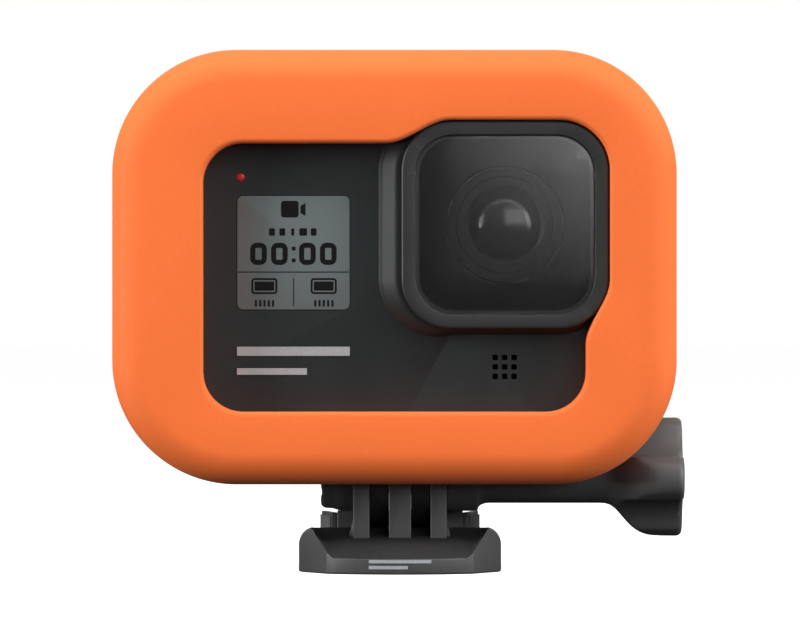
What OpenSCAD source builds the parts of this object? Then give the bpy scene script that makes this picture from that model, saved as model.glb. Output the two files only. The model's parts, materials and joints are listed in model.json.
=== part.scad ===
// Action camera in a foam float, standing on a quick-release buckle.
// Millimetres. X runs along the thumb screw, the lens looks along -Y, Z is up.
// The origin is the middle of the buckle's flat underside.

/* [Camera body] */
// Width of the camera body
cam_w = 66.3; // [62:0.1:82]
// Height of the camera body
cam_h = 48.6; // [46:0.1:60]
// Depth of the camera body, without the lens bump
cam_d = 23; // [22:0.1:30]
// Radius of the camera body's corners
cam_corner_r = 8; // [7.4:0.1:9]
// Thickness of the housing walls
wall = 1.8; // [1.5:0.1:2.2]
// Thickness of the front cover
front_t = 1.8; // [1.5:0.1:2.4]
// Thickness of the rear frame
rear_t = 3; // [2.8:0.1:3.4]
// How far the camera's middle lies beside the middle of the fingers
cam_offset = 0.85; // [0:0.05:2]

/* [Lens] */
// Width and height of the square lens bezel
bezel_size = 31.7; // [28:0.1:33]
// Radius of the bezel's corners
bezel_corner_r = 7.6; // [6:0.1:9]
// Gap between the bezel and the side and top of the camera
bezel_margin = 0.4; // [0.2:0.1:1]
// How far the bezel stands in front of the camera's face
bezel_proud = 4.9; // [4.5:0.1:6]
// Width of the bezel's border around the cover glass
bezel_border = 2.15; // [1.6:0.05:2.8]
// Depth of the bezel ring
bezel_t = 2; // [1.8:0.1:2.4]
// Thickness of the cover glass
glass_t = 1.6; // [1.4:0.1:2]
// Width of the cover glass's bevelled edge
glass_bevel = 2.55; // [1:0.05:3]
// Width of the sloping skirt beside the bezel
skirt = 3.4; // [2:0.1:5]
// Radius of the lens barrel
barrel_r = 8.8; // [8:0.1:9.5]
// Radius of the front lens element
dome_r = 5.9; // [5:0.1:6.4]
// Length of the lens barrel
barrel_len = 13; // [12:0.1:14]

/* [Front display and face] */
// Width of the front display window
lcd_w = 17.3; // [14:0.1:20]
// Height of the front display window
lcd_h = 17.5; // [14:0.1:20]
// Distance from the camera's left side to the display window
lcd_left = 9; // [8.5:0.1:11]
// Distance from the camera's top to the display window
lcd_top = 11.75; // [11:0.05:13]
// Radius of the status light
led_r = 0.6; // [0.4:0.05:1]
// Holes along each side of the square grille
grille_n = 3; // [2:1:4]
// Distance between grille holes
grille_pitch = 1.45; // [1.3:0.05:2]
// Diameter of a grille hole
grille_d = 0.9; // [0.5:0.05:1.1]
// Height of the grille's middle above the camera's bottom
grille_up = 10.6; // [9:0.1:11]

/* [Foam float] */
// Foam beside the camera, left and right
foam_side = 10.1; // [9:0.1:14]
// Foam above the camera
foam_top = 10.6; // [10:0.1:14]
// Foam below the camera
foam_bottom = 7.4; // [6.8:0.1:8]
// Foam in front of the camera's face
foam_front = 6; // [5:0.1:8]
// Foam behind the camera
foam_back = 9; // [7:0.1:11]
// Radius of the float's corners seen from the front
foam_corner_r = 19; // [15:0.1:22]
// Radius of the float's front and back edges
foam_edge_r = 5; // [3:0.1:6.5]
// How far the foam laps over the edge of the camera's face
foam_lip = 3.85; // [2.5:0.05:5]
// How far the foam laps over the edge of the camera's back
foam_back_lip = 5; // [4:0.1:7]

/* [Buttons] */
// Length of the shutter button
shutter_l = 12; // [9:0.1:14]
// Width of the shutter button
shutter_w = 7; // [5:0.1:8]
// Distance from the camera's left side to the shutter button's middle
shutter_left = 18.5; // [16:0.1:22]
// Length of the mode button
mode_l = 9; // [7:0.1:10]
// Width of the mode button
mode_w = 5; // [4:0.1:6]
// Height of the mode button's middle above the camera's middle
mode_up = 3; // [0:0.1:5]
// How far a button stands out of the housing
button_proud = 0.9; // [0.8:0.1:1.2]
// Travel of a button
button_travel = 0.6; // [0.3:0.1:0.7]
// Radius of the round foam pad over a button
pad_r = 7; // [6.6:0.1:8]
// Radius of the dished hollow around a pad
dish_r = 10; // [9:0.1:11]
// Depth of the dished hollow
dish_depth = 2.4; // [1.5:0.1:3]

/* [Fingers and thumb screw] */
// Height of the tilt axis above the buckle's underside
pivot_z = 14.3; // [14:0.1:17]
// Radius of the rounded finger and prong ends
prong_r = 7.5; // [6.5:0.1:9]
// Thickness of the middle prong
prong_mid = 3.4; // [3:0.1:4.2]
// Thickness of each outer prong
prong_side = 2.5; // [2.2:0.1:3.2]
// Gap between two prongs
prong_gap = 3; // [2.8:0.1:3.6]
// Diameter of the thumb screw's steel bolt
bolt_d = 5; // [4:0.1:6]
// Radius of the thumb screw's hub and of the nut boss
hub_r = 5.25; // [5:0.05:6.4]
// Length of the hub collar and of the nut boss
hub_len = 5.1; // [4.8:0.1:6]
// Radius of the thumb screw's neck
neck_r = 4; // [3.6:0.1:5]
// Length of the thumb knob
knob_len = 11.6; // [10:0.1:14]
// Radius of the knob to the tips of its lobes
knob_r = 10.2; // [9.6:0.1:12.3]
// Number of lobes on the knob
knob_lobes = 3; // [3:1:5]

/* [Buckle] */
// Width of the buckle across its slide rails
base_w = 31.1; // [31:0.1:36]
// Height of the buckle's shoulders
base_h = 6.7; // [6:0.1:8]
// Height of the floor between the prongs
floor_h = 5.2; // [4:0.1:5.6]
// Thickness of the slide rails
rail_t = 2.2; // [1.8:0.1:2.4]
// Distance from the tilt axis to the tip of the nose
nose_reach = 21.5; // [20:0.1:26]
// How far the nose curves forward of its ends
nose_sag = 12; // [10:0.1:14]
// Height of the rear cross wall
cross_h = 8.9; // [7:0.1:9.4]
// Height of the squeeze arms' grip pads
grip_h = 8.5; // [7:0.1:9.4]
// Travel of a squeeze arm, in degrees
arm_angle = 3; // [1:0.5:3]

/* [Hidden] */
$fn = 64;

// Clearances
fit = 0.05;       // running fit around a shaft, on the radius
slide_gap = 0.1;  // between flat faces that slide past each other
seat = 0.1;       // around a piece seated in a pocket
foam_gap = 0.15;  // between the foam and the camera
button_gap = 0.15;
pad_gap = 0.5;    // between a foam pad and the hole around it
eps = 0.01;       // how far a cut runs past a face

// Camera places: the camera's middle, and its faces measured from there
cam_x = -cam_offset;
cam_bottom = pivot_z + prong_r - 0.9;
cam_z = cam_bottom + cam_h / 2;
half_w = cam_w / 2;
half_h = cam_h / 2;
face_y = -cam_d / 2;
back_y = cam_d / 2;
shell_front = face_y + front_t;
shell_back = back_y - rear_t;
inner_w = cam_w - 2 * wall;
inner_h = cam_h - 2 * wall;
inner_r = cam_corner_r - wall;

// Lens places
lens_x = half_w - bezel_size / 2 - bezel_margin;
lens_z = half_h - bezel_size / 2 - bezel_margin;
bezel_front = face_y - bezel_proud;
bump_top = bezel_front + bezel_t;
glass_size = bezel_size - 2 * bezel_border;
glass_r = bezel_corner_r - bezel_border + 0.4;
glass_front = bezel_front - 0.8;
glass_back = glass_front + glass_t;
mask_t = 0.8;
mask_back = glass_back + seat + mask_t;
mask_hole_r = barrel_r + seat;
barrel_front = glass_back + seat + 0.5;
barrel_back = barrel_front + barrel_len;
barrel_bore = dome_r + 0.1;
ring_t = 1;
ring_r = barrel_r - 1.3;
inner_bore = barrel_bore - 1;
sensor_bore = 2.6;
rim_r = dome_r - 0.4;
element_back = ring_t + 0.2;
element_t = 2.2;
dome_front = barrel_front + 0.1;
dome_rise = 2.4;

// Display places
lcd_x = -half_w + lcd_left + lcd_w / 2;
lcd_z = half_h - lcd_top - lcd_h / 2;
led_x = lcd_x - lcd_w / 2 + 0.55;
led_z = lcd_z + lcd_h / 2 + 2.85;
window_t = 0.9;
panel_t = 1.8;
stripe_t = 0.12;

// Bottom recess that the folded fingers lie in
finger_t = prong_gap - 2 * slide_gap;
finger_x = prong_mid / 2 + prong_gap / 2;
hinge_up = 2.5;
hinge_r = finger_t / 2;
hinge_z = cam_bottom + hinge_up;
pin_r = 0.75;
recess_half_x = finger_x + (hinge_z - pivot_z) + prong_r + 0.5;
recess_half_y = prong_r + 0.2;
recess_h = hinge_up + hinge_r + 0.3;
recess_roof = 1.3;
recess_wall = 0.8;
pin_reach = recess_half_y + 0.5;
floor_z = -half_h + recess_h + recess_roof;

// Float places
float_w = cam_w + 2 * foam_side;
float_h = cam_h + foam_top + foam_bottom;
float_d = cam_d + foam_front + foam_back;
float_z = cam_z + (foam_top - foam_bottom) / 2;
float_y = (foam_back - foam_front) / 2;
float_bottom = cam_bottom - foam_bottom;
face_open_w = cam_w - 2 * foam_lip;
face_open_h = cam_h - 2 * foam_lip + 0.2;
face_open_r = 6.1;
bezel_open = bezel_size + 0.3;
blend_len = 9.8;

// Thumb screw places
prong_out = prong_mid / 2 + prong_gap + prong_side;
hub_start = prong_out + slide_gap;
hub_end = hub_start + hub_len;
knob_start = cam_x + half_w - 0.1;
knob_end = knob_start + knob_len;
nut_af = bolt_d * 1.6;
nut_t = bolt_d * 0.8;
nut_left = -prong_out - hub_len + 0.2;
nut_r = nut_af / 2 / cos(30);
boss_r = max(hub_r, nut_r + 0.5);
head_af = nut_af;
head_t = 3.4;
head_x = knob_end - 1.2 - head_t;
bolt_left = nut_left + 0.3;
lobe_r = 3;
lobe_at = knob_r - lobe_r;
scallop_r = 8;
scallop_depth = 1.5;
knob_edge = 1;
flare_r = knob_r * 0.75;
flare_len = knob_len - 2.8;
bore_r = bolt_d / 2 + fit;
channel_r = max(hub_r, neck_r) + 0.5;
pocket_r = knob_r + 1.3;
pocket_start = knob_start - 1.4;
bay_half_y = prong_r + 1.3;
bay_left = -prong_out - hub_len - 0.8;

// Buckle places
nose_r = (base_w * base_w / 4 + nose_sag * nose_sag) / (2 * nose_sag);
nose_end = nose_sag - nose_reach;
shoulder_r = 2.3;
shoulder_lip = 3;
slope_back = 6;
lip_h = 2.2;
deck_h = 4.4;
block_half = prong_out + 1.3;
rail_end = 8;
arm_t = 1.6;
arm_x = block_half + 3.2;
arm_y = nose_end + 4.2;
knuckle_r = 1.6;
arm_low = rail_t + 0.3;
arm_high = 4.6;
deck_end = arm_y + knuckle_r + 1;
deck_half = arm_x - knuckle_r - 0.3;
cross_y = prong_r + 0.2;
cross_t = 2.2;
cross_half = arm_x - arm_t / 2 - (cross_y + cross_t - arm_y) * sin(arm_angle) - 0.25;
grip_y = cross_y + cross_t + 0.4;
arm_slot = arm_t + 2.2;
arm_slot_x = arm_x - 0.6;
grip_len = 9.5;
grip_in = cross_half - 0.1;
grip_t = 0.9;
grip_flare = 1.7;
ridge_n = 6;
ridge_r = 0.4;

// Rear screws, screen and display panel, measured from the camera's middle
screw_x = half_w - 5.95;
screw_z = half_h - 6.1;
screw_r = 0.75;
screw_head_r = 2 * screw_r;
screw_head_t = 0.5;
screw_boss_r = 3.6;
screw_len = 6;
screen_w = cam_w - 6.3;
screen_h = cam_h - 6.6;
screen_r = 5;
screen_t = 1.6;
screen_seat_y = back_y - screen_t;
panel_w = screen_w - 10;
panel_h = screen_h - 10;

// Side door and what lies behind it
door_half_y = 7.5;
door_half_z = half_h - cam_corner_r - 0.7;
seal_t = 1;
behind_seal = -half_w + wall + seal_t + 0.9;
battery_l = 34;
battery_t = 10.4;
battery_y = -6;
battery_top = min(door_half_z - 0.6, screw_z - screw_boss_r - 0.2);
battery_low = -door_half_z + 6.2;
port_w = 8.9;
port_h = 3.2;
port_len = 7.3;
port_wall = 0.3;
port_z = -door_half_z + 2.9;
slot_l = 14;
slot_w = 12;
slot_t = 1.4;
slot_wall = 0.3;
slot_y = -7;
slot_z = -door_half_z + 4.7;
card_l = 15;
card_w = 11;
card_t = 0.7;

// Boards, buttons and microphones
board_w = 46;
board_h = 35;
board_t = 1;
board_y = shell_back - 2.4;
board_z = (floor_z + half_h - wall) / 2;
spreader_t = 0.7;
spreader_inset = 2;
shutter_x = -half_w + shutter_left;
cap_root = 0.3;
flange_t = 0.7;
flange = 0.4;
pad_soft = 0.6;
mic_inset = 18;
mic_pitch = 9;
mic_hole_r = 0.6;
mic_places = [for (s = [0, 1]) [half_w - mic_inset - mic_pitch * s, shell_back - 3, half_h - wall - 0.5]];

// ---- shared shapes ----

module rounded_rect(w, h, r) {
    square([w - 2 * r, h], center = true);
    square([w, h - 2 * r], center = true);
    for (sx = [-1, 1], sy = [-1, 1])
        translate([sx * (w / 2 - r), sy * (h / 2 - r)])
            circle(r = r);
}

// A 2D outline in the X-Z plane, made solid from y0 to y1
module stand(y0, y1) {
    rotate([90, 0, 0])
        translate([0, 0, -y1])
            linear_extrude(y1 - y0)
                children();
}

// A plate with rounded corners, standing in the X-Z plane from y0 to y1
module slab(w, h, r, y0, y1) {
    stand(y0, y1)
        rounded_rect(w, h, r);
}

// A shaft along X from x0 to x1
module shaft(r, x0, x1) {
    translate([x0, 0, 0])
        rotate([0, 90, 0])
            cylinder(r = r, h = x1 - x0);
}

// A shaft along Y from y0 to y1
module rod(r, y0, y1) {
    translate([0, y1, 0])
        rotate([90, 0, 0])
            cylinder(r = r, h = y1 - y0);
}

module box(low, high) {
    translate(low)
        cube(high - low);
}

// A block with corners of radius r seen from the front and edges of radius e
module rounded_block(w, h, d, r, e) {
    rotate([90, 0, 90])
        linear_extrude(w - 2 * r, center = true)
            rounded_rect(d, h, e);
    linear_extrude(h - 2 * r, center = true)
        rounded_rect(w, d, e);
    for (sx = [-1, 1], sz = [-1, 1])
        translate([sx * (w / 2 - r), 0, sz * (h / 2 - r)])
            rotate([90, 0, 0])
                rotate_extrude($fn = 96)
                    intersection() {
                        rounded_rect(2 * r, d, e);
                        translate([0, -d / 2])
                            square([r, d]);
                    }
}

module at_camera() {
    translate([cam_x, 0, cam_z])
        children();
}

module at_lens() {
    translate([cam_x + lens_x, 0, cam_z + lens_z])
        children();
}

module at_pivot() {
    translate([0, 0, pivot_z])
        children();
}

// ---- buckle ----

module base_plan() {
    translate([-base_w / 2, nose_end])
        square([base_w, rail_end - nose_end]);
    intersection() {
        translate([0, nose_r - nose_reach])
            circle(r = nose_r, $fn = 128);
        translate([-base_w / 2, -nose_reach])
            square([base_w, nose_reach + nose_end + eps]);
    }
}

// Front view of the shoulders: square foot, rounded top corners
module shoulder_outline() {
    translate([-base_w / 2, 0])
        square([base_w, base_h - shoulder_r]);
    translate([-base_w / 2 + shoulder_r, 0])
        square([base_w - 2 * shoulder_r, base_h]);
    for (s = [-1, 1])
        translate([s * (base_w / 2 - shoulder_r), base_h - shoulder_r])
            circle(r = shoulder_r);
}

// Side view of the nose: upright lip, then a slope up to the shoulders
module nose_side() {
    polygon([
        [-nose_reach - 1, 0],
        [-nose_reach - 1, shoulder_lip],
        [-nose_reach, shoulder_lip],
        [-nose_reach + slope_back, base_h],
        [deck_end, base_h],
        [deck_end, 0]
    ]);
}

// Side view of what is cut away between the shoulders, down to the sloping deck
module above_deck() {
    polygon([
        [-nose_reach - 1, lip_h],
        [-nose_reach, lip_h],
        [-nose_reach + slope_back, deck_h],
        [deck_end, base_h],
        [deck_end, base_h + 1],
        [-nose_reach - 1, base_h + 1]
    ]);
}

// A side view made solid across the buckle, from x = -half to x = half
module across(half) {
    rotate([90, 0, 90])
        translate([0, 0, -half])
            linear_extrude(2 * half)
                children();
}

module prong_side_view() {
    circle(r = prong_r, $fn = 96);
    translate([-prong_r, -pivot_z + rail_t])
        square([2 * prong_r, pivot_z - rail_t]);
}

module prong(x0, x1) {
    at_pivot()
        rotate([90, 0, 90])
            translate([0, 0, x0])
                linear_extrude(x1 - x0)
                    prong_side_view();
}

module buckle_base() {
    color([0.2, 0.2, 0.21])
        difference() {
            union() {
                difference() {
                    intersection() {
                        linear_extrude(base_h)
                            base_plan();
                        stand(-nose_reach - 1, rail_end)
                            shoulder_outline();
                        across(base_w / 2)
                            nose_side();
                    }
                    across(deck_half)
                        above_deck();
                }
                linear_extrude(rail_t)
                    base_plan();
                box([-block_half, deck_end - eps, 0], [block_half, cross_y + eps, floor_h]);
                box([-cross_half, cross_y, 0], [cross_half, cross_y + cross_t, cross_h]);
                prong(-prong_out, -prong_out + prong_side);
                prong(-prong_mid / 2, prong_mid / 2);
                prong(prong_out - prong_side, prong_out);
                at_pivot()
                    shaft(boss_r, -prong_out - hub_len, -prong_out + eps);
            }
            // gaps between the prongs, above the floor
            for (s = [-1, 1])
                translate([s * finger_x, 0, floor_h])
                    translate([-prong_gap / 2, -prong_r - 1, 0])
                        cube([prong_gap, 2 * prong_r + 2, 2 * pivot_z]);
            // bolt bore and nut pocket
            at_pivot() {
                shaft(bore_r, -prong_out - hub_len - 1, prong_out + 1);
                translate([nut_left + nut_t, 0, 0])
                    rotate([0, -90, 0])
                        rotate([0, 0, 30])
                            cylinder(r = nut_r + fit, h = nut_t + hub_len, $fn = 6);
            }
            // sockets and slots for the squeeze arms, closed above and open to the rear
            for (s = [-1, 1]) {
                translate([s * arm_x, arm_y, arm_low - 0.2])
                    cylinder(r = knuckle_r + fit, h = arm_high - arm_low + 0.4);
                translate([s * arm_slot_x, 0, 0])
                    box([-arm_slot / 2, arm_y, arm_low - 0.2],
                        [arm_slot / 2, arm_y + knuckle_r + 4, arm_high + 0.2]);
            }
        }
}

module base_stripe(x0, x1, z0, z1) {
    intersection() {
        translate([0, nose_r - nose_reach, z0])
            difference() {
                cylinder(r = nose_r + stripe_t, h = z1 - z0, $fn = 128);
                translate([0, 0, -1])
                    cylinder(r = nose_r, h = z1 - z0 + 2, $fn = 128);
            }
        box([x0, -nose_reach - 2, z0 - 1], [x1, nose_end, z1 + 1]);
    }
}

module base_stripes() {
    color([0.72, 0.74, 0.76]) {
        base_stripe(-5.3, 5.3, 1.75, 2.25);
        base_stripe(-5.3, 1.2, 0.85, 1.35);
    }
}

module captive_nut() {
    color([0.75, 0.75, 0.77])
        at_pivot()
            difference() {
                translate([nut_left + nut_t, 0, 0])
                    rotate([0, -90, 0])
                        rotate([0, 0, 30])
                            cylinder(r = nut_r, h = nut_t, $fn = 6);
                shaft(bore_r, nut_left - 1, nut_left + nut_t + 1);
            }
}

// The squeeze arm on the +X side, with its pivot at its own origin
module arm_shape() {
    pad_x = grip_in - arm_x;
    pad_y = grip_y - arm_y;
    translate([0, 0, arm_low])
        cylinder(r = knuckle_r, h = arm_high - arm_low);
    box([-arm_t / 2, 0, arm_low], [arm_t / 2, pad_y + 6, arm_high]);
    translate([pad_x, pad_y, arm_low])
        linear_extrude(grip_h - arm_low)
            polygon([
                [0, 0],
                [grip_t, 0],
                [grip_t + grip_flare, grip_len],
                [grip_flare, grip_len]
            ]);
    for (i = [1 : ridge_n])
        let (t = i / (ridge_n + 0.6))
            translate([pad_x + grip_t + grip_flare * t, pad_y + grip_len * t, arm_low])
                cylinder(r = ridge_r, h = grip_h - arm_low - 0.6, $fn = 24);
    // latch tooth
    translate([arm_t / 2 - eps, rail_end - arm_y - 2, arm_low])
        linear_extrude(2)
            polygon([[0, -2.4], [1.4, 0], [0, 0]]);
}

module buckle_arm_right() {
    color([0.22, 0.22, 0.23])
        translate([arm_x, arm_y, 0])
            arm_shape();
}

module buckle_arm_left() {
    color([0.22, 0.22, 0.23])
        mirror([1, 0, 0])
            translate([arm_x, arm_y, 0])
                arm_shape();
}

// ---- thumb screw ----

module thumb_bolt() {
    color([0.7, 0.7, 0.72])
        at_pivot() {
            shaft(bolt_d / 2, bolt_left, head_x + eps);
            translate([head_x, 0, 0])
                rotate([0, 90, 0])
                    cylinder(r = head_af / 2 / cos(30), h = head_t, $fn = 6);
        }
}

// Lobed outline of the knob, seen along the screw
module knob_outline() {
    step = 360 / knob_lobes;
    chord = lobe_at * cos(step / 2) + lobe_r;
    difference() {
        union() {
            for (i = [0 : knob_lobes - 1])
                rotate(i * step)
                    translate([lobe_at, 0])
                        circle(r = lobe_r);
            polygon([
                for (i = [0 : knob_lobes - 1], s = [-1, 1])
                    [lobe_at * cos(i * step) + lobe_r * cos(i * step + s * step / 2),
                     lobe_at * sin(i * step) + lobe_r * sin(i * step + s * step / 2)]
            ]);
        }
        for (i = [0 : knob_lobes - 1])
            rotate((i + 0.5) * step)
                translate([chord + scallop_r - scallop_depth, 0])
                    circle(r = scallop_r, $fn = 96);
    }
}

// Half profile of the knob: a rounded bell that ends in a rounded rim
module knob_profile() {
    intersection() {
        translate([knob_r - flare_r, flare_len])
            circle(r = flare_r, $fn = 96);
        square([knob_r, flare_len]);
    }
    translate([0, flare_len - flare_r])
        square([knob_r - flare_r, flare_r]);
    translate([0, flare_len])
        square([knob_r, knob_len - knob_edge - flare_len]);
    translate([0, flare_len])
        square([knob_r - knob_edge, knob_len - flare_len]);
    translate([knob_r - knob_edge, knob_len - knob_edge])
        circle(r = knob_edge);
}

module thumb_knob() {
    color([0.14, 0.14, 0.15])
        at_pivot()
            difference() {
                union() {
                    shaft(hub_r, hub_start, hub_end - 0.3);
                    translate([hub_end - 0.3, 0, 0])
                        rotate([0, 90, 0])
                            cylinder(r1 = hub_r, r2 = neck_r, h = 1.6);
                    shaft(neck_r, hub_start, knob_start + 3);
                    translate([knob_start - 0.6, 0, 0])
                        rotate([0, 90, 0])
                            cylinder(r1 = neck_r, r2 = neck_r + 1.5, h = 3);
                    intersection() {
                        translate([knob_start, 0, 0])
                            rotate([0, 90, 0])
                                rotate_extrude($fn = 96)
                                    knob_profile();
                        translate([knob_start - 1, 0, 0])
                            rotate([90, 0, 90])
                                rotate(180)
                                    linear_extrude(knob_len + 2)
                                        knob_outline();
                    }
                }
                shaft(bore_r, hub_start - 1, knob_end + 1);
                translate([head_x - fit, 0, 0])
                    rotate([0, 90, 0])
                        cylinder(r = head_af / 2 / cos(30) + fit, h = head_t + 3, $fn = 6);
            }
}

// ---- folding fingers ----

module finger(s) {
    rise = hinge_z - pivot_z;
    translate([s * finger_x - finger_t / 2, 0, pivot_z])
        difference() {
            union() {
                rotate([90, 0, 90])
                    linear_extrude(finger_t) {
                        circle(r = prong_r, $fn = 96);
                        translate([-prong_r + 1, 0])
                            square([2 * prong_r - 2, rise]);
                    }
                translate([finger_t / 2, 0, rise])
                    rod(hinge_r, -prong_r + 1, prong_r - 1);
            }
            shaft(bore_r, -1, finger_t + 1);
            translate([finger_t / 2, 0, rise])
                rod(pin_r + fit, -prong_r - 1, prong_r + 1);
        }
}

module finger_left() {
    color([0.13, 0.13, 0.14])
        finger(-1);
}

module finger_right() {
    color([0.13, 0.13, 0.14])
        finger(1);
}

module finger_pins() {
    color([0.75, 0.75, 0.77])
        for (s = [-1, 1])
            translate([s * finger_x, 0, hinge_z])
                rod(pin_r, -pin_reach, pin_reach);
}

// ---- foam float ----

// A smooth rise from the face opening's edge to the bezel's edge, in unit steps
function ease(t) = t * t * (3 - 2 * t);

// The wedge between the face opening and the bezel, to the left of the bezel's top edge
module rise_wedge(step_h) {
    n = 12;
    polygon(concat(
        [for (i = [0 : n]) [-blend_len * (1 - i / n), step_h * ease(i / n)]],
        [[0, -bezel_corner_r], [-blend_len, -bezel_corner_r]]
    ));
}

// Front opening of the float: the face, the bezel, and the curves that join them,
// drawn smaller by gap all round
module face_opening(gap = 0) {
    top_step = lens_z + bezel_open / 2 - face_open_h / 2;
    side_step = lens_x + bezel_open / 2 - face_open_w / 2;
    rounded_rect(face_open_w - 2 * gap, face_open_h - 2 * gap, face_open_r - gap);
    translate([lens_x, lens_z])
        rounded_rect(bezel_open - 2 * gap, bezel_open - 2 * gap, bezel_corner_r - gap);
    translate([lens_x - bezel_open / 2 + bezel_corner_r, face_open_h / 2 - gap])
        rise_wedge(top_step);
    translate([face_open_w / 2 - gap, lens_z - bezel_open / 2 + bezel_corner_r])
        rotate(90)
            mirror([0, 1])
                rise_wedge(side_step);
}

module float_sleeve() {
    color([0.96, 0.47, 0.2])
        difference() {
            translate([cam_x, float_y, float_z])
                rounded_block(float_w, float_h, float_d, foam_corner_r, foam_edge_r);
            at_camera() {
                slab(cam_w + 2 * foam_gap, cam_h + 2 * foam_gap, cam_corner_r, face_y - foam_gap,
                     back_y + foam_gap);
                stand(face_y - foam_front - 1, 0)
                    face_opening();
                slab(cam_w - 2 * foam_back_lip, cam_h - 2 * foam_back_lip, face_open_r, 0,
                     back_y + foam_back + 1);
                // holes and hollows for the two button pads
                translate([shutter_x, 0, 0]) {
                    cylinder(r = pad_r + pad_gap, h = half_h + foam_top + 1);
                    translate([0, 0, half_h + foam_top - dish_depth])
                        cylinder(r = dish_r, h = dish_depth + 1);
                }
                translate([0, 0, mode_up]) {
                    shaft(pad_r + pad_gap, 0, half_w + foam_side + 1);
                    shaft(dish_r, half_w + foam_side - dish_depth, half_w + foam_side + 1);
                }
            }
            // bay around the prongs and the nut boss
            box([bay_left, -bay_half_y, float_bottom - 1],
                [prong_out + 0.8, bay_half_y, cam_bottom + foam_gap]);
            // channel along the thumb screw, then a pocket around its knob
            at_pivot() {
                shaft(channel_r, 0, pocket_start + 1);
                box([0, -channel_r, 0], [pocket_start, channel_r, prong_r]);
                translate([pocket_start, 0, 0])
                    rotate([0, 90, 0])
                        cylinder(r1 = channel_r, r2 = pocket_r, h = knob_len - 3.3);
                shaft(pocket_r, pocket_start + knob_len - 3.3, float_w);
            }
        }
}

// ---- camera shell ----

module screen_pocket() {
    at_camera()
        slab(screen_w, screen_h, screen_r, screen_seat_y, back_y + 1);
}

// The walls and roof around the bottom recess, as a solid block that ends at the screen's pocket
module recess_block() {
    difference() {
        box([-recess_half_x - recess_roof, -recess_half_y - recess_wall, cam_bottom],
            [recess_half_x + recess_roof, recess_half_y + recess_wall, cam_bottom + recess_h + recess_roof]);
        screen_pocket();
    }
}

module main_housing() {
    color([0.16, 0.16, 0.165])
        difference() {
            union() {
                at_camera() {
                    difference() {
                        slab(cam_w, cam_h, cam_corner_r, shell_front, shell_back);
                        slab(inner_w, inner_h, inner_r, shell_front - 1, shell_back + 1);
                    }
                    // bosses for the rear screws
                    for (sx = [-1, 1], sz = [-1, 1])
                        translate([sx * screw_x, 0, sz * screw_z])
                            rod(screw_boss_r, shell_back - screw_len - 1, shell_back);
                }
                recess_block();
            }
            box([-recess_half_x, -recess_half_y, cam_bottom - 1],
                [recess_half_x, recess_half_y, cam_bottom + recess_h]);
            for (s = [-1, 1])
                translate([s * finger_x, 0, hinge_z])
                    rod(pin_r + fit, -pin_reach - fit, pin_reach + fit);
            at_camera() {
                for (sx = [-1, 1], sz = [-1, 1])
                    translate([sx * screw_x, 0, sz * screw_z])
                        rod(screw_r + fit, shell_back - screw_len, shell_back + 1);
                // side door opening
                box([-half_w - 1, -door_half_y, -door_half_z],
                    [-half_w + wall + 0.2, door_half_y, door_half_z]);
                // button holes
                translate([shutter_x, 0, half_h - wall - 0.5])
                    linear_extrude(wall + 1)
                        rounded_rect(shutter_l, shutter_w, shutter_w / 2 - 0.01);
                translate([half_w - wall - 0.5, 0, mode_up])
                    rotate([90, 0, 90])
                        linear_extrude(wall + 1)
                            rounded_rect(mode_l, mode_w, mode_w / 2 - 0.01);
                // microphone holes
                for (p = mic_places)
                    translate(p)
                        cylinder(r = mic_hole_r, h = 2 * wall + 1);
            }
        }
}

module front_cover() {
    base_size = bezel_size + skirt - 0.2;
    color([0.17, 0.175, 0.17])
        difference() {
            at_camera()
                difference() {
                    union() {
                        slab(cam_w, cam_h, cam_corner_r, face_y, shell_front);
                        translate([lens_x, 0, lens_z])
                            slab(bezel_size, bezel_size, bezel_corner_r, bump_top, face_y + eps);
                        // skirt of the lens bump, to the left and below
                        intersection() {
                            translate([lens_x, 0, lens_z])
                                hull() {
                                    slab(bezel_size - 0.2, bezel_size - 0.2, bezel_corner_r,
                                         bump_top + 0.4, bump_top + 0.5, $fn = 32);
                                    translate([-skirt / 2, 0, -skirt / 2])
                                        slab(base_size, base_size, bezel_corner_r + 1,
                                             face_y, face_y + 0.2, $fn = 32);
                                }
                            stand(bump_top, face_y + 0.2)
                                face_opening(foam_gap);
                        }
                    }
                    translate([lens_x, 0, lens_z]) {
                        rod(barrel_r + seat, bump_top - 1, shell_front + 1);
                        slab(glass_size - 0.6, glass_size - 0.6, glass_r, bump_top - 1, mask_back + 0.05);
                    }
                    translate([lcd_x, 0, lcd_z])
                        slab(lcd_w + seat, lcd_h + seat, 0.8, face_y - 1, shell_front + 1);
                    translate([led_x, 0, led_z])
                        rod(led_r + fit, face_y - 1, shell_front + 1);
                    for (i = [0 : grille_n - 1], k = [0 : grille_n - 1])
                        translate([lens_x + (i - (grille_n - 1) / 2) * grille_pitch, 0,
                                   -half_h + grille_up + (k - (grille_n - 1) / 2) * grille_pitch])
                            rod(grille_d / 2, face_y - 1, shell_front + 1, $fn = 24);
                }
            recess_block();
        }
}

module rear_frame() {
    color([0.16, 0.16, 0.165])
        difference() {
            at_camera()
                difference() {
                    slab(cam_w, cam_h, cam_corner_r, shell_back, back_y);
                    slab(panel_w + 2 * seat, panel_h + 2 * seat, 2, shell_back - 1, back_y);
                    for (sx = [-1, 1], sz = [-1, 1])
                        translate([sx * screw_x, 0, sz * screw_z]) {
                            rod(screw_r + fit, shell_back - 1, back_y);
                            rod(screw_head_r + fit, screen_seat_y - screw_head_t - seat, back_y);
                        }
                }
            screen_pocket();
            recess_block();
        }
}

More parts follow.
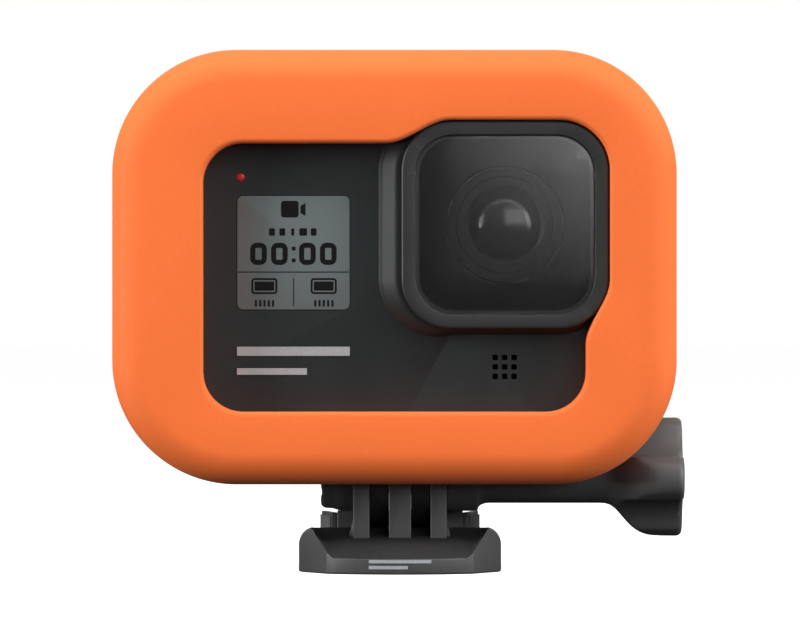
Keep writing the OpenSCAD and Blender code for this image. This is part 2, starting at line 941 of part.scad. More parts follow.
module housing_screws() {
    color([0.7, 0.7, 0.72])
        at_camera()
            for (sx = [-1, 1], sz = [-1, 1])
                translate([sx * screw_x, 0, sz * screw_z])
                    difference() {
                        union() {
                            rod(screw_r, shell_back - screw_len + 0.3, screen_seat_y - seat);
                            rod(screw_head_r, screen_seat_y - seat - screw_head_t, screen_seat_y - seat);
                        }
                        // cross recess
                        for (a = [0, 90])
                            translate([0, screen_seat_y - 0.25, 0])
                                rotate([0, a, 0])
                                    cube([1.6, 0.4, 0.35], center = true);
                    }
}

module rear_screen_glass() {
    color([0.05, 0.05, 0.06])
        at_camera()
            slab(screen_w - 2 * seat, screen_h - 2 * seat, screen_r - seat, screen_seat_y, back_y);
}

module rear_display_panel() {
    color([0.25, 0.27, 0.3])
        at_camera()
            slab(panel_w, panel_h, 2 - seat, shell_back + 0.1, screen_seat_y - 0.05);
}

// ---- lens ----

module lens_bezel() {
    color([0.2, 0.2, 0.2])
        at_lens()
            difference() {
                slab(bezel_size, bezel_size, bezel_corner_r, bezel_front, bump_top);
                slab(glass_size - 1, glass_size - 1, glass_r - 0.5, bezel_front - 1, bump_top + 1);
                slab(glass_size, glass_size, glass_r, bezel_front - 1, glass_back);
            }
}

module lens_cover_glass() {
    flat = glass_size - 2 * seat - 2 * glass_bevel;
    color([0.2, 0.2, 0.21, 0.6])
        at_lens()
            hull() {
                slab(flat, flat, glass_r - 1.2, glass_front, glass_front + 0.1, $fn = 48);
                slab(glass_size - 2 * seat, glass_size - 2 * seat, glass_r, bezel_front - 0.05, glass_back,
                     $fn = 48);
            }
}

module lens_mask() {
    color([0.06, 0.06, 0.065])
        at_lens()
            difference() {
                slab(glass_size - 1.2, glass_size - 1.2, glass_r - 0.6, mask_back - mask_t, mask_back);
                rod(mask_hole_r, mask_back - mask_t - 1, mask_back + 1);
            }
}

module lens_barrel() {
    color([0.1, 0.1, 0.1])
        at_lens()
            difference() {
                rod(barrel_r, barrel_front, barrel_back);
                // seat of the retaining ring and front element
                rod(ring_r, barrel_front - 1, barrel_front + element_back);
                rod(barrel_bore, barrel_front - 1, barrel_front + 2 * element_t);
                rod(inner_bore, barrel_front, barrel_back - 1.5);
                rod(sensor_bore, barrel_front, barrel_back + 1);
            }
}

module lens_retaining_ring() {
    color([0.12, 0.12, 0.125])
        at_lens()
            difference() {
                rod(ring_r - fit, barrel_front + 0.1, barrel_front + ring_t + 0.1);
                rod(rim_r + 0.1, barrel_front - 1, barrel_front + 3);
            }
}

module lens_front_element() {
    // the domed face is a cap of a sphere that meets the rim at rim_r
    cap_r = rim_r * rim_r / (2 * dome_rise) + dome_rise / 2;
    back = dome_front + dome_rise;
    color([0.1, 0.1, 0.14])
        at_lens() {
            intersection() {
                translate([0, dome_front + cap_r, 0])
                    sphere(r = cap_r, $fn = 96);
                rod(rim_r, dome_front - 1, back);
            }
            rod(dome_r, barrel_front + element_back, barrel_front + element_back + element_t);
        }
}

module lens_inner_elements() {
    stack = [[4.8, 6.2], [7.2, 8.4], [9.4, 10.8]];
    color([0.5, 0.55, 0.6])
        at_lens()
            for (ends = stack)
                rod(inner_bore - fit, barrel_front + ends[0], barrel_front + ends[1]);
}

module image_sensor() {
    color([0.25, 0.35, 0.3])
        at_lens()
            box([-3.6, barrel_back + 0.1, -2.9], [3.6, barrel_back + 0.8, 2.9]);
}

module sensor_board() {
    color([0.1, 0.3, 0.15])
        at_lens()
            box([-8, barrel_back + 0.8, -7], [8, barrel_back + 1.6, 7]);
}

// ---- face ----

module front_lcd_window() {
    color([0.34, 0.34, 0.34, 0.8])
        at_camera()
            translate([lcd_x, 0, lcd_z])
                slab(lcd_w, lcd_h, 0.7, face_y, face_y + window_t);
}

module front_lcd_panel() {
    color([0.3, 0.3, 0.3])
        at_camera()
            translate([lcd_x, 0, lcd_z])
                slab(lcd_w - 0.2, lcd_h - 0.2, 0.5, face_y + window_t + 0.05, face_y + window_t + panel_t);
}

module status_led() {
    color([0.85, 0.1, 0.1])
        at_camera()
            translate([led_x, 0, led_z])
                rod(led_r, face_y - 0.05, shell_front + 1);
}

module face_stripe(w, z0, z1) {
    translate([lcd_x - lcd_w / 2, 0, 0])
        box([0, face_y - stripe_t, z0], [w, face_y, z1]);
}

module face_stripes() {
    low = -half_h + 8.8;
    color([0.66, 0.67, 0.69])
        at_camera() {
            face_stripe(lcd_w, low + 3.5, low + 4.9);
            face_stripe(0.62 * lcd_w, low + 0.6, low + 1.6);
        }
}

module grille_membrane() {
    side = grille_n * grille_pitch + 1.5;
    color([0.08, 0.08, 0.08])
        at_camera()
            translate([lens_x, 0, -half_h + grille_up])
                slab(side, side, 0.8, shell_front + 0.02, shell_front + 0.22);
}

module speaker() {
    color([0.2, 0.2, 0.22])
        at_camera()
            translate([lens_x, 0, -half_h + grille_up])
                slab(12, 7.4, 1.5, shell_front + 0.3, shell_front + 1.2);
}

module microphones() {
    color([0.6, 0.6, 0.62])
        at_camera()
            for (p = mic_places)
                translate([p[0], p[1], half_h - wall - 0.7])
                    cube([2.6, 2, 1.2], center = true);
}

// ---- inside ----

module main_board() {
    color([0.1, 0.3, 0.15])
        at_camera()
            translate([0, 0, board_z])
                box([-board_w / 2, board_y, -board_h / 2], [board_w / 2, board_y + board_t, board_h / 2]);
}

module heat_spreader() {
    color([0.75, 0.76, 0.78])
        at_camera()
            translate([0, 0, board_z])
                box([-board_w / 2 + spreader_inset, board_y - spreader_t, -board_h / 2 + spreader_inset],
                    [board_w / 2 - spreader_inset, board_y, board_h / 2 - spreader_inset]);
}

module battery() {
    color([0.25, 0.3, 0.4])
        at_camera()
            translate([behind_seal, battery_y, battery_low])
                cube([battery_l, battery_t, battery_top - battery_low]);
}

module side_door() {
    color([0.17, 0.17, 0.175])
        at_camera()
            box([-half_w, -door_half_y + seat, -door_half_z + seat],
                [-half_w + wall, door_half_y - seat, door_half_z - seat]);
}

module door_seal() {
    color([0.3, 0.3, 0.32])
        at_camera()
            difference() {
                box([-half_w + wall, -door_half_y + 0.3, -door_half_z + 0.3],
                    [-half_w + wall + seal_t, door_half_y - 0.3, door_half_z - 0.3]);
                box([-half_w + wall - 1, -door_half_y + 1.3, -door_half_z + 1.3],
                    [-half_w + wall + 2, door_half_y - 1.3, door_half_z - 1.3]);
            }
}

module usb_port() {
    color([0.7, 0.7, 0.72])
        at_camera()
            translate([behind_seal, 0, port_z])
                rotate([90, 0, 90])
                    difference() {
                        linear_extrude(port_len)
                            rounded_rect(port_w, port_h, port_h / 2 - 0.1);
                        translate([0, 0, -1])
                            linear_extrude(port_len - port_wall + 1)
                                rounded_rect(port_w - 2 * port_wall, port_h - 2 * port_wall,
                                             port_h / 2 - port_wall - 0.1);
                    }
}

module card_slot() {
    color([0.7, 0.7, 0.72])
        at_camera()
            translate([behind_seal + 1.7, slot_y, slot_z])
                difference() {
                    cube([slot_l, slot_w, slot_t]);
                    translate([-1, (slot_w - card_w) / 2 - fit, slot_wall])
                        cube([slot_l + 0.2, card_w + 2 * fit, slot_t - 2 * slot_wall]);
                }
}

module memory_card() {
    color([0.1, 0.1, 0.12])
        at_camera()
            translate([behind_seal - 0.2, slot_y + (slot_w - card_w) / 2, slot_z + (slot_t - card_t) / 2])
                cube([card_l, card_w, card_t]);
}

module button_switches() {
    color([0.75, 0.75, 0.77])
        at_camera() {
            translate([shutter_x, 0, half_h - wall - 3.6])
                cube([4.4, 4.4, 1.2], center = true);
            translate([half_w - wall - 3.6, 0, mode_up])
                cube([1.2, 4.4, 3.2], center = true);
        }
}

module button_seals() {
    color([0.05, 0.05, 0.05])
        at_camera() {
            translate([shutter_x, 0, half_h - wall - 2.4])
                linear_extrude(0.4)
                    rounded_rect(shutter_l + 2, shutter_w + 2, shutter_w / 2);
            translate([half_w - wall - 2.4, 0, mode_up])
                rotate([90, 0, 90])
                    linear_extrude(0.4)
                        rounded_rect(mode_l + 2, mode_w + 2, mode_w / 2);
        }
}

// ---- buttons ----

module button_cap(l, w) {
    // the cap, its flange inside the wall
    translate([0, 0, -wall - cap_root])
        linear_extrude(wall + cap_root + button_proud)
            rounded_rect(l - 2 * button_gap, w - 2 * button_gap, w / 2 - button_gap - 0.01);
    translate([0, 0, -wall - cap_root - flange_t])
        linear_extrude(flange_t)
            rounded_rect(l + 2 * flange, w + 2 * flange, w / 2);
}

module shutter_button() {
    color([0.22, 0.22, 0.23])
        at_camera()
            translate([shutter_x, 0, half_h])
                button_cap(shutter_l, shutter_w);
}

module mode_button() {
    color([0.22, 0.22, 0.23])
        at_camera()
            translate([half_w, 0, mode_up])
                rotate([90, 0, 90])
                    button_cap(mode_l, mode_w);
}

module pad_plug(reach) {
    plug_h = reach - dish_depth + button_travel - button_proud;
    cylinder(r = pad_r, h = plug_h - pad_soft);
    translate([0, 0, plug_h - pad_soft])
        cylinder(r1 = pad_r, r2 = pad_r - pad_soft, h = pad_soft);
}

module shutter_pad() {
    color([0.96, 0.47, 0.2])
        at_camera()
            translate([shutter_x, 0, half_h + button_proud])
                pad_plug(foam_top);
}

module mode_pad() {
    color([0.96, 0.47, 0.2])
        at_camera()
            translate([half_w + button_proud, 0, mode_up])
                rotate([0, 90, 0])
                    pad_plug(foam_side);
}

buckle_base();
base_stripes();
captive_nut();
buckle_arm_left();
buckle_arm_right();
thumb_bolt();
thumb_knob();
finger_left();
finger_right();
finger_pins();
float_sleeve();
main_housing();
front_cover();
rear_frame();
housing_screws();
rear_screen_glass();
rear_display_panel();
lens_bezel();
lens_cover_glass();
lens_mask();
lens_barrel();
lens_retaining_ring();
lens_front_element();
lens_inner_elements();
image_sensor();
sensor_board();
front_lcd_window();
front_lcd_panel();
status_led();
face_stripes();
grille_membrane();
speaker();
microphones();
main_board();
heat_spreader();
battery();
side_door();
door_seal();
usb_port();
card_slot();
memory_card();
button_switches();
button_seals();
shutter_button();
shutter_pad();
mode_button();
mode_pad();
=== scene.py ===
"""Action camera in a foam float on a quick-release buckle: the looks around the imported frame.

Shapes are worked out in millimetres in the frame's own axes (X along the thumb screw, lens towards -Y,
Z up) and turned into metres as each piece is made.
"""
import json
import math

import bmesh
import bpy
import numpy as np
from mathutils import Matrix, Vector


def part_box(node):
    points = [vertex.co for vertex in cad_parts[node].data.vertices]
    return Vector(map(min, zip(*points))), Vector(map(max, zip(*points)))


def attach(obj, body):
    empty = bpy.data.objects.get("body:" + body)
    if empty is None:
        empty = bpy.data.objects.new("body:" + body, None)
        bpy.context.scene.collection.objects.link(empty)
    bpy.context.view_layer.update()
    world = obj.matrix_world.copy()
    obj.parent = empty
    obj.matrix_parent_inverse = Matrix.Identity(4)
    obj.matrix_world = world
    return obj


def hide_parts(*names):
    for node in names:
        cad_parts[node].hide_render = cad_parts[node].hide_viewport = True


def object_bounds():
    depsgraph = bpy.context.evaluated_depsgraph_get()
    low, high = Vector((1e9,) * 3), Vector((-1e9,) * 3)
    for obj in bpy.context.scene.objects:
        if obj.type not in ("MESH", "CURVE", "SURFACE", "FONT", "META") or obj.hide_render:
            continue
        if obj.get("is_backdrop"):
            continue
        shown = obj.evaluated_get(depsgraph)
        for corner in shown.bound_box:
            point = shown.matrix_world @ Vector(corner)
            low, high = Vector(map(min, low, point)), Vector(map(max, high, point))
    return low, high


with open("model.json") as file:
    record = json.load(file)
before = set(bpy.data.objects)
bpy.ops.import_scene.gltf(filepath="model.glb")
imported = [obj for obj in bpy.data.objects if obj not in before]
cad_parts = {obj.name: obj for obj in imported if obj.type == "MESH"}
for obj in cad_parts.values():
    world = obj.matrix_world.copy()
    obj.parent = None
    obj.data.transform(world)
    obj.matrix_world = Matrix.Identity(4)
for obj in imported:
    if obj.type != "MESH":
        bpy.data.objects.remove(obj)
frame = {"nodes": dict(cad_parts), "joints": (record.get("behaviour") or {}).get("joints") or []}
cad_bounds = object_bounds()

MM = 0.001
TAU = 2 * math.pi


# ---------------------------------------------------------------- frame sizes, in millimetres

def span(node):
    """Lowest and highest corner of a node of the frame."""
    low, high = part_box(node)
    return np.array(low) / MM, np.array(high) / MM


def extent(node, axis=0):
    low, high = span(node)
    return high[axis] - low[axis]


def middle(node):
    low, high = span(node)
    return (low + high) / 2


def middle_xz(node):
    """Middle of a node in the front view."""
    x, _, z = middle(node)
    return x, z


JOINTS = {j["name"]: j for j in frame["joints"]}
PIVOT_Z = JOINTS["tilt"]["pos_m"][2] / MM

housing_low, housing_high = span("main_housing")
sleeve_low, sleeve_high = span("float_sleeve")
CAM_W, CAM_H = extent("main_housing"), extent("main_housing", 2)
CAM_X, CAM_Z = middle_xz("main_housing")
FACE_Y = span("front_lcd_window")[0][1]
BACK_Y = span("rear_frame")[1][1]
COVER_BACK = span("front_cover")[1][1]
LENS_X, LENS_Z = middle_xz("lens_bezel")
BEZEL, GLASS = extent("lens_bezel"), extent("lens_cover_glass")
BEZEL_FRONT, BEZEL_BACK = (corner[1] for corner in span("lens_bezel"))
GLASS_FRONT, GLASS_BACK = (corner[1] for corner in span("lens_cover_glass"))
BARREL_R = extent("lens_barrel") / 2
NOSE_TIP = span("buckle_base")[0][1]
BASE_HALF = extent("buckle_base") / 2
CAM_R, BEZEL_R, GLASS_R = 8.0, 7.6, 5.8      # corner radii in the front view
BOLT_HOLE_R = 2.55
PRONG_R = 7.5        # round ends of the prongs and the fingers


# ---------------------------------------------------------------- outlines and lofts

def rounded_rect(w, h, r, arc=24, side=24):
    """Points of a rounded rectangle about the origin, going anticlockwise, and their outward normals."""
    pts, nrm = [], []
    corners = [(1, 1, 0), (-1, 1, 90), (-1, -1, 180), (1, -1, 270)]
    for i, (sx, sy, start) in enumerate(corners):
        cx, cy = sx * (w / 2 - r), sy * (h / 2 - r)
        for k in range(arc + 1):
            a = math.radians(start + 90 * k / arc)
            pts.append((cx + r * math.cos(a), cy + r * math.sin(a)))
            nrm.append((math.cos(a), math.sin(a)))
        nx, ny, _ = corners[(i + 1) % 4]
        a = math.radians(start + 90)
        ex, ey = nx * (w / 2 - r) + r * math.cos(a), ny * (h / 2 - r) + r * math.sin(a)
        px, py = pts[-1]
        for k in range(1, side):
            pts.append((px + (ex - px) * k / side, py + (ey - py) * k / side))
            nrm.append((math.cos(a), math.sin(a)))
    return np.array(pts), np.array(nrm)


def ray_sample(outline, centre, directions):
    """Where rays from centre along each direction meet a closed outline that is star-shaped about centre."""
    a = outline - centre
    b = np.roll(a, -1, axis=0)
    out = []
    for d in directions:
        ca = d[0] * a[:, 1] - d[1] * a[:, 0]
        cb = d[0] * b[:, 1] - d[1] * b[:, 0]
        hit = (ca <= 0) & (cb > 0)
        t = ca[hit] / (ca[hit] - cb[hit])
        p = a[hit] + (b[hit] - a[hit]) * t[:, None]
        reach = p @ d
        out.append(centre + d * reach.max())
    return np.array(out)


def unit(pts):
    return pts / np.linalg.norm(pts, axis=1)[:, None]


def path_normals(pts):
    """Outward normals of a closed anticlockwise outline."""
    along = np.roll(pts, -1, axis=0) - np.roll(pts, 1, axis=0)
    return unit(np.stack([along[:, 1], -along[:, 0]], axis=1))


def arc_steps(n):
    return [math.radians(90 * k / n) for k in range(n + 1)]


def round_off(outline, inward, radius, face, sign=1, steps=5):
    """Outlines and depths that round an edge, from the side of the solid to its face at depth face.

    inward points from the side towards the face, and sign is 1 where the solid lies behind the face.
    """
    return [(outline + inward * radius * (1 - math.cos(a)), face + sign * radius * (1 - math.sin(a)))
            for a in arc_steps(steps)]


def loft(rings, caps=True):
    """Quads between rings of equal length, closed by a cap at each end or else from the last to the first."""
    n = len(rings[0])
    verts = [tuple(p) for r in rings for p in r]
    starts = [n * k for k in range(len(rings))]
    pairs = list(zip(starts, starts[1:]))
    if not caps:
        pairs.append((starts[-1], 0))
    faces = [(a + k, a + (k + 1) % n, b + (k + 1) % n, b + k) for a, b in pairs for k in range(n)]
    if caps:
        faces += [tuple(range(n)), tuple(starts[-1] + k for k in range(n))]
    return verts, faces


# ---------------------------------------------------------------- making pieces

def new_object(name, mesh):
    obj = bpy.data.objects.new(name, mesh)
    bpy.context.scene.collection.objects.link(obj)
    return obj


def new_mesh(name, verts, faces):
    mesh = bpy.data.meshes.new(name)
    mesh.from_pydata([tuple(c * MM for c in v) for v in verts], [], faces)
    bm = bmesh.new()
    bm.from_mesh(mesh)
    bmesh.ops.remove_doubles(bm, verts=bm.verts, dist=1e-7)
    bmesh.ops.dissolve_degenerate(bm, edges=bm.edges, dist=1e-7)
    bmesh.ops.recalc_face_normals(bm, faces=bm.faces)
    bm.to_mesh(mesh)
    bm.free()
    return new_object(name, mesh)


def bake_modifiers(obj):
    """Turns the modifiers of obj into mesh."""
    graph = bpy.context.evaluated_depsgraph_get()
    graph.update()
    mesh = bpy.data.meshes.new_from_object(obj.evaluated_get(graph))
    obj.modifiers.clear()
    old = obj.data
    obj.data = mesh
    mesh.name = obj.name
    bpy.data.meshes.remove(old)
    return obj


def boolean(obj, tool, operation):
    """Joins, cuts or trims obj with a tool, which is used up."""
    mod = obj.modifiers.new(operation, "BOOLEAN")
    mod.operation = operation
    mod.solver = "MANIFOLD"
    mod.object = tool
    bake_modifiers(obj)
    bpy.data.objects.remove(tool)
    return obj


def cut(obj, *cutters):
    for c in cutters:
        boolean(obj, c, "DIFFERENCE")
    return obj


def join_solid(obj, *others):
    for o in others:
        boolean(obj, o, "UNION")
    return obj


def bevel(obj, width, segments=3, angle=30):
    mod = obj.modifiers.new("bevel", "BEVEL")
    mod.width = width * MM
    mod.segments = segments
    mod.limit_method = "ANGLE"
    mod.angle_limit = math.radians(angle)
    mod.harden_normals = False
    mod.use_clamp_overlap = True
    return bake_modifiers(obj)


def finish_piece(obj, body, node, kind, sharp=35, replaces=True):
    """Smooth shading, material, and the piece's place in the frame."""
    mesh = obj.data
    bm = bmesh.new()
    bm.from_mesh(mesh)
    bmesh.ops.remove_doubles(bm, verts=bm.verts, dist=2e-7)
    bmesh.ops.recalc_face_normals(bm, faces=bm.faces)
    bm.to_mesh(mesh)
    bm.free()
    mesh.shade_smooth()
    mesh.set_sharp_from_angle(angle=math.radians(sharp))
    mesh.materials.clear()
    mesh.materials.append(MATERIALS[kind])
    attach(obj, body)
    if replaces:
        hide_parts(node)
    return obj


def join_objects(name, objs):
    """Joins separate meshes into one object, without merging their surfaces."""
    bm = bmesh.new()
    for o in objs:
        bm.from_mesh(o.data)
        bpy.data.objects.remove(o)
    mesh = bpy.data.meshes.new(name)
    bm.to_mesh(mesh)
    bm.free()
    return new_object(name, mesh)


def stack(name, levels, at=(0, 0), caps=True):
    """A solid through outlines in the X-Z plane, each with its depth; without caps it closes on itself."""
    rings = [[(at[0] + p[0], y, at[1] + p[1]) for p in pts] for pts, y in levels]
    return new_mesh(name, *loft(rings, caps))


def slab(name, outline, y0, y1, at=(0, 0)):
    """A flat plate in the X-Z plane with the given outline, from depth y0 to y1."""
    return stack(name, [(outline, y0), (outline, y1)], at)


def prism_x(name, outline_yz, x0, x1):
    """A solid with a Y-Z outline, from x0 to x1."""
    return new_mesh(name, *loft([[(x, p[0], p[1]) for p in outline_yz] for x in (x0, x1)]))


def prism_z(name, outline_xy, z0, z1):
    """A solid with an X-Y outline, from z0 to z1."""
    return new_mesh(name, *loft([[(p[0], p[1], z) for p in outline_xy] for z in (z0, z1)]))


def block(name, low, high):
    outline = [(low[0], low[1]), (high[0], low[1]), (high[0], high[1]), (low[0], high[1])]
    return prism_z(name, outline, low[2], high[2])


def circle(r, n=48):
    return np.array([(r * math.cos(TAU * k / n), r * math.sin(TAU * k / n)) for k in range(n)])


def rod(name, axis, profile, centre, n=64):
    """A turned solid along an axis (0 = X, 1 = Y, 2 = Z) through centre, from pairs of radius and station."""
    rings = []
    for r, station in profile:
        line = np.empty((n, 3))
        line[:, axis] = station
        for k, turned in enumerate(circle(r, n).T):
            across = (axis + 1 + k) % 3
            line[:, across] = centre[across] + turned
        rings.append(line)
    return new_mesh(name, *loft(rings))


def pivot_rod(name, profile, n=48):
    """A turned solid on the thumb screw's axis."""
    return rod(name, 0, profile, (0, 0, PIVOT_Z), n)


def bolt_bore(x0, x1):
    return pivot_rod("bore", [(BOLT_HOLE_R, x0), (BOLT_HOLE_R, x1)])


# ---------------------------------------------------------------- materials

class Nodes:
    """A small helper that builds a material's node tree."""

    def __init__(self, name):
        self.material = bpy.data.materials.new(name)
        self.material.use_nodes = True
        self.tree = self.material.node_tree
        self.shader = self.tree.nodes["Principled BSDF"]
        self.output = self.tree.nodes["Material Output"]
        self.place = self.add("ShaderNodeTexCoord").outputs["Object"]

    def add(self, kind, **values):
        """A new node with its settings, or else the constants on its sockets."""
        node = self.tree.nodes.new(kind)
        for key, value in values.items():
            if hasattr(node, key):
                setattr(node, key, value)
            else:
                node.inputs[key.replace("_", " ")].default_value = value
        return node

    def link(self, a, b):
        self.tree.links.new(a, b)

    def texture(self, kind, place=None, **values):
        """A texture on the piece's own coordinates, or on place."""
        node = self.add(kind, **values)
        self.link(self.place if place is None else place, node.inputs["Vector"])
        return node.outputs

    def noise(self, scale, detail=2.0, rough=0.5):
        """Noise on the piece's own coordinates; scale is in features per millimetre."""
        return self.texture("ShaderNodeTexNoise", Scale=scale / MM, Detail=detail, Roughness=rough)["Fac"]

    def spread(self, value, low, high, to_low, to_high):
        node = self.add("ShaderNodeMapRange", From_Min=low, From_Max=high, To_Min=to_low, To_Max=to_high)
        self.link(value, node.inputs["Value"])
        return node.outputs["Result"]

    def mix(self, factor, a, b):
        node = self.add("ShaderNodeMix", data_type="RGBA")
        self.link(factor, node.inputs[0])
        for socket, value in ((node.inputs[6], a), (node.inputs[7], b)):
            if isinstance(value, (tuple, list)):
                socket.default_value = (*value[:3], 1)
            else:
                self.link(value, socket)
        return node.outputs[2]

    def bump(self, height, distance, strength=1.0, below=None):
        """A bump with its depth in millimetres, laid over another bump where below is given."""
        node = self.add("ShaderNodeBump", Strength=strength, Distance=distance * MM)
        self.link(height, node.inputs["Height"])
        if below is not None:
            self.link(below, node.inputs["Normal"])
        return node.outputs["Normal"]

    def set(self, **values):
        for key, value in values.items():
            socket = self.shader.inputs[key.replace("_", " ")]
            if isinstance(value, (int, float)):
                socket.default_value = value
            elif isinstance(value, (tuple, list)):
                socket.default_value = (*value[:3], 1)
            else:
                self.link(value, socket)
        return self


def shade(colour, factor):
    return tuple(min(c * factor, 1) for c in colour)


def foam(name, colour):
    """Closed-cell foam: a soft skin of fine cells with slight mottling."""
    n = Nodes(name)
    cells = n.texture("ShaderNodeTexVoronoi", Scale=2.6 / MM)
    pores = n.spread(cells["Distance"], 0.0, 0.5, 0.0, 1.0)
    skin = n.noise(0.9, 3)
    drift = n.noise(0.05, 2)
    base = n.mix(n.spread(drift, 0.35, 0.65, 0, 1), shade(colour, 0.965), shade(colour, 1.02))
    fleck = n.mix(n.spread(skin, 0.3, 0.7, 0, 1), base, shade(colour, 1.0))
    normal = n.bump(pores, 0.02, 0.5)
    normal = n.bump(skin, 0.05, 0.5, normal)
    n.set(Base_Color=fleck, Roughness=n.spread(skin, 0.3, 0.7, 0.62, 0.78), Normal=normal,
          Specular_IOR_Level=0.28, Sheen_Weight=0.12, Sheen_Roughness=0.5, Sheen_Tint=(1.0, 0.72, 0.5))
    return n.material


def moulded(name, colour, rough, specular=0.4, grain=3.0, depth=0.012, wear=0.25):
    """Moulded plastic: a fine spark-eroded grain, slight tone drift, and paler rubbed edges."""
    n = Nodes(name)
    fine = n.noise(grain, 3, 0.6)
    drift = n.noise(0.12, 3)
    toned = n.mix(n.spread(drift, 0.3, 0.7, 0, 1), shade(colour, 0.9), shade(colour, 1.1))
    edge = n.spread(n.add("ShaderNodeNewGeometry").outputs["Pointiness"], 0.52, 0.62, 0.0, wear)
    worn = n.mix(edge, toned, shade(colour, 2.2))
    n.set(Base_Color=worn, Roughness=n.spread(fine, 0.3, 0.7, rough - 0.05, rough + 0.06),
          Normal=n.bump(fine, depth, 0.6), Specular_IOR_Level=specular)
    return n.material


def metal(name, colour, rough, stretch=(1, 1, 12)):
    """Turned or brushed metal: fine lines that run one way, and a faint haze."""
    n = Nodes(name)
    stretched = n.texture("ShaderNodeMapping", Scale=stretch)["Vector"]
    lines = n.texture("ShaderNodeTexNoise", stretched, Scale=2.0 / MM, Detail=3)["Fac"]
    haze = n.noise(0.4, 2)
    toned = n.mix(haze, shade(colour, 0.88), colour)
    n.set(Base_Color=toned, Metallic=1.0, Roughness=n.spread(lines, 0.3, 0.7, rough - 0.07, rough + 0.1),
          Normal=n.bump(lines, 0.004, 0.4))
    return n.material


def gloss(name, colour, rough, coat=0.0, smudge=0.06, specular=0.5):
    """Polished plastic or coated glass seen as a solid: deep gloss with faint smudges."""
    n = Nodes(name)
    marks = n.noise(0.25, 4, 0.6)
    fine = n.noise(6.0, 2)
    toned = n.mix(marks, shade(colour, 0.9), shade(colour, 1.1))
    n.set(Base_Color=toned, Roughness=n.spread(marks, 0.35, 0.7, rough, rough + smudge),
          Normal=n.bump(fine, 0.001, 0.2), Specular_IOR_Level=specular, Coat_Weight=coat, Coat_Roughness=0.05)
    return n.material


def clear_glass(name, colour, rough=0.02, sheen_rough=None):
    """Clear glass, faintly tinted and smudged; with sheen_rough its reflections come from a softer coat."""
    n = Nodes(name)
    marks = n.noise(0.2, 4, 0.6)
    tint = n.mix(marks, shade(colour, 0.97), colour)
    n.set(Base_Color=tint, Roughness=rough, Transmission_Weight=1.0, IOR=1.45,
          Normal=n.bump(marks, 0.0005, 0.1))
    if sheen_rough is None:
        n.set(Roughness=n.spread(marks, 0.4, 0.7, rough, rough + 0.03))
    else:
        n.set(IOR=1.0, Coat_Weight=0.95, Coat_IOR=1.5,
              Coat_Roughness=n.spread(marks, 0.3, 0.7, sheen_rough, sheen_rough + 0.02))
    return n.material


def printed(name, colour):
    """Silver print: fine metallic flakes in a matt ink."""
    n = Nodes(name)
    flakes = n.noise(9.0, 2)
    wear = n.noise(0.8, 4)
    toned = n.mix(n.spread(flakes, 0.35, 0.65, 0, 1), shade(colour, 0.85), shade(colour, 1.08))
    toned = n.mix(n.spread(wear, 0.62, 0.8, 0, 0.35), toned, shade(colour, 0.6))
    n.set(Base_Color=toned, Metallic=0.15, Roughness=n.spread(flakes, 0.3, 0.7, 0.4, 0.55),
          Normal=n.bump(flakes, 0.004, 0.4))
    return n.material


def board(name, colour):
    """Circuit board: solder mask over a faint pattern of tracks."""
    n = Nodes(name)
    tracks = n.texture("ShaderNodeTexBrick", Scale=0.35 / MM, Mortar_Size=0.03)["Fac"]
    base = n.mix(tracks, colour, shade(colour, 1.6))
    n.set(Base_Color=base, Roughness=n.spread(n.noise(0.5), 0.3, 0.7, 0.25, 0.4),
          Normal=n.bump(tracks, 0.03, 0.5))
    return n.material


def liquid_crystal(name, colour):
    """Display ground: a matt grey with the faint grid of its dots."""
    n = Nodes(name)
    grid = n.texture("ShaderNodeTexChecker", Scale=7.0 / MM)["Fac"]
    drift = n.noise(0.06, 1)
    base = n.mix(grid, shade(colour, 0.97), shade(colour, 1.03))
    base = n.mix(n.spread(drift, 0.3, 0.7, 0, 0.3), base, shade(colour, 1.12))
    n.set(Base_Color=base, Roughness=n.spread(drift, 0.3, 0.7, 0.5, 0.6), Specular_IOR_Level=0.2)
    return n.material


def glowing(name, colour, power):
    """A small lit lens: bright in the middle of its light guide."""
    n = Nodes(name)
    speck = n.noise(1.5, 2)
    tone = n.mix(speck, shade(colour, 0.8), colour)
    n.set(Base_Color=tone, Roughness=0.3, Emission_Color=tone, Emission_Strength=power)
    return n.material


